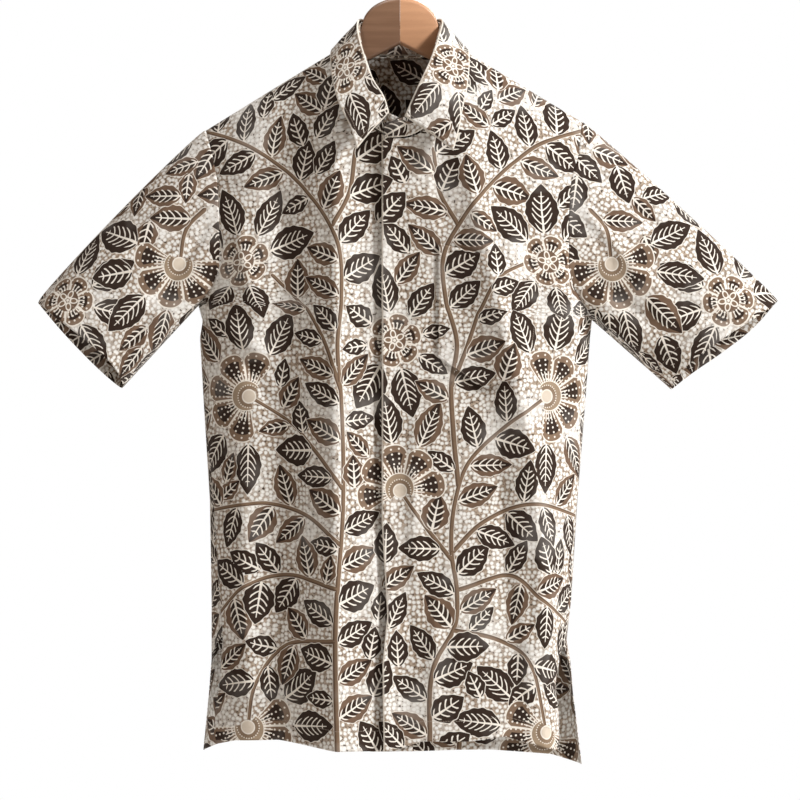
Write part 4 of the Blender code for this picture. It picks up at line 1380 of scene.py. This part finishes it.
# where each drawing's random draws start, and how many leaves are tried in its gaps
draws = {
    "front": (11, 5200),
    "back": (29, 5200),
    -1: (36, 2600),
    1: (38, 2600),
    "collar": (53, 700),
    "stand": (71, 300),
}
frontDrawing = drawBatik(*draws["front"], onFront, frontVines, frontFlowers, *spread(frontRight, frontLeft))
backDrawing = drawBatik(*draws["back"], back.laid, backVines, backFlowers, *spread(back))
rightDrawing, leftDrawing = (
    drawBatik(*draws[side], cloth.laid, sleeveVines[side], sleeveFlowers[side], *spread(cloth))
    for side, cloth in ((-1, sleeveRight), (1, sleeveLeft))
)
collarDrawing = drawBatik(*draws["collar"], collar.laid, (), collarFlowers, *spread(collar))
standDrawing = drawBatik(*draws["stand"], None, (), (), *spread(stand))
print("batik drawn:", len(frontDrawing.leaves), "leaves on the front,", len(backDrawing.leaves), "on the back")

# node, cloth, drawing, how far in from the edge the stitches run, stitched edges, pressed edges with a painted
# highlight, thickness
thick = shirt["collarThickness"]
cutPieces = (
    ("front_right", frontRight, frontDrawing, 22.0, ("foot",)),
    ("front_left", frontLeft, frontDrawing, 22.0, ("foot",), ("first",)),
    ("back", back, backDrawing, 22.0, ("foot",)),
    ("sleeve_right", sleeveRight, rightDrawing, 22.0, ("foot",)),
    ("sleeve_left", sleeveLeft, leftDrawing, 22.0, ("foot",)),
    ("collar", collar, collarDrawing, 5.0, ("foot", "first", "last"), ("top", "foot", "first", "last"), thick),
    ("collar_stand", stand, standDrawing, 3.0, ("foot",), ("top",), thick),
    ("pocket", pocketCloth, frontDrawing, 2.0, ("foot", "first", "last")),
)
cotton = batikCotton()
pieces = {node: thinShell(cotton, *row) for node, *row in cutPieces}


restsOn = {
    "front_right": "hanger_right",
    "front_left": "hanger_left",
    "back": "hanger_right",
    "sleeve_right": "front_right",
    "sleeve_left": "front_left",
    "collar": "collar_stand",
    "collar_stand": "back",
    "pocket": "front_left",
}
for node, cloth, *_ in cutPieces:
    piece, carrier = pieces[node], pieces.get(restsOn[node], restsOn[node])
    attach(piece, "root")
    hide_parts(node)

hanger = {
    "edge": 5.0,  # radius of the long edges, less where it is thin
    "joint": 0.08,  # half the joint between the two arms
    "jointEdge": 0.2,  # the joint's edges are broken by this much
    "leastFlat": 0.4,  # half the flat that is left between two rounded edges
    "sharpFrom": 35,  # degrees
    "around": 40,
    "along": 150,
}
# x, top, foot, thickness
hangerSections = (
    (0, -66, -118, 11),
    (16, -69, -126, 11),
    (32, -78, -134, 11),
    (38.5, -86, -137, 11),
    (43, -99, -140, 11),
    (56, -118, -148, 11),
    (76, -133, -158, 11),
    (120, -159, -182, 10.5),
    (165, -186, -208, 9),
    (190, -201, -222, 8),
    (198, -208, -223, 6.5),
)


def hangerArm(side, name, look):
    around = hanger["around"]
    rows = smoothCurve(hangerSections, np.linspace(0, 1, hanger["along"]))
    rows[0, 0] = hanger["joint"]
    rows = np.concatenate([rows[:1], rows[:1] + (hanger["jointEdge"], 0, 0, 0), rows[2:]])
    a = 2 * np.pi * np.arange(around) / around + np.pi / around
    points = []
    for k, (x, high, low, thick) in enumerate(rows):
        shrink = hanger["jointEdge"] if k == 0 else 0.0
        edge = min(hanger["edge"], thick / 2 - hanger["leastFlat"])
        y = np.sign(np.cos(a)) * (thick / 2 - edge) + (edge - shrink) * np.cos(a)
        z = (high + low) / 2 + np.sign(np.sin(a)) * ((high - low) / 2 - edge) + (edge - shrink) * np.sin(a)
        points += [(side * x, shirt["ridgeBack"] * x + b, c) for b, c in zip(y, z)]
    faces = [tuple(range(around))]
    for k in range(len(rows) - 1):
        for n in range(around):
            m = (n + 1) % around
            faces.append((k * around + n, (k + 1) * around + n, (k + 1) * around + m, k * around + m))
    faces.append(tuple(range(len(points) - 1, len(points) - 1 - around, -1)))
    if side > 0:
        faces = [f[::-1] for f in faces]
    arm = newPiece(name, points, faces, look)
    arm.data.set_sharp_from_angle(angle=math.radians(hanger["sharpFrom"]))
    return arm


arms = {
    # the arm on the viewer's left gets darker wood colours: painted shade for the shade that half hangs in
    "hanger_right": hangerArm(-1, "rightArm", beech("lacquered beech with painted shade", "#94725a", "#83624b")),
    "hanger_left": hangerArm(1, "leftArm", beech("lacquered beech", "#cd9b76", "#c08f6b")),
}
for node, arm in arms.items():
    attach(arm, "root")
    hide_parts(node)
steel = polishedSteel()
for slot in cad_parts["hook"].material_slots:
    slot.material = steel
print("hanger made")

studio = {
    "distance": 6.0,
    "across": 0.88,  # metres seen across the view at the shirt
    "centreZ": -0.509,
    "aim": (0, 0, -0.5),  # what the lamps point at
    "floorZ": -1.6,
    "floorSize": 8.0,
    "room": 0.15,
}
# name, place, size, watts
lamps = (
    ("key", (3.6, -1.8, 2.1), 0.8, 306.0),
    ("fill", (-1.2, -0.7, 2.8), 0.9, 44.0),
    ("back", (0.6, 3.0, 1.2), 2.0, 80.0),
)

bpy.ops.mesh.primitive_plane_add(size=studio["floorSize"], location=(0, 0, studio["floorZ"]))
floor = bpy.context.object
floor.name = "floor"
floor.data.materials.append(whitePaint())

for name, place, size, watts in lamps:
    lamp = bpy.data.lights.new(name, "AREA")
    lamp.energy, lamp.shape, lamp.size = watts, "SQUARE", size
    box = link(bpy.data.objects.new(name, lamp))
    way = np.array(studio["aim"]) - np.array(place)
    box.location = place
    box.rotation_euler = (math.acos(-way[2] / np.linalg.norm(way)), 0, math.atan2(way[1], way[0]) - math.pi / 2)

world = bpy.data.worlds.new("white room")
world.use_nodes = True
bpy.context.scene.world = world
w = world.node_tree
sky = w.nodes["Background"]
w.links.new(add(w, "Mix", {0: add(w, "LightPath", {}), 2: studio["room"], 3: 1.0}), sky.inputs[1])
w.links.new(paint(w, add(w, "LightPath", {}), "#ffdab6", "#ffffff"), sky.inputs[0])

lens = bpy.data.cameras.new("camera")
lens.sensor_width = 36.0
lens.lens = 36.0 * studio["distance"] / studio["across"]
camera = link(bpy.data.objects.new("camera", lens))
camera.location = (0.0, -studio["distance"], studio["centreZ"])
camera.rotation_euler = (math.radians(90), 0, 0)
bpy.context.scene.camera = camera
bpy.context.scene.view_settings.view_transform = "Standard"

print("done")
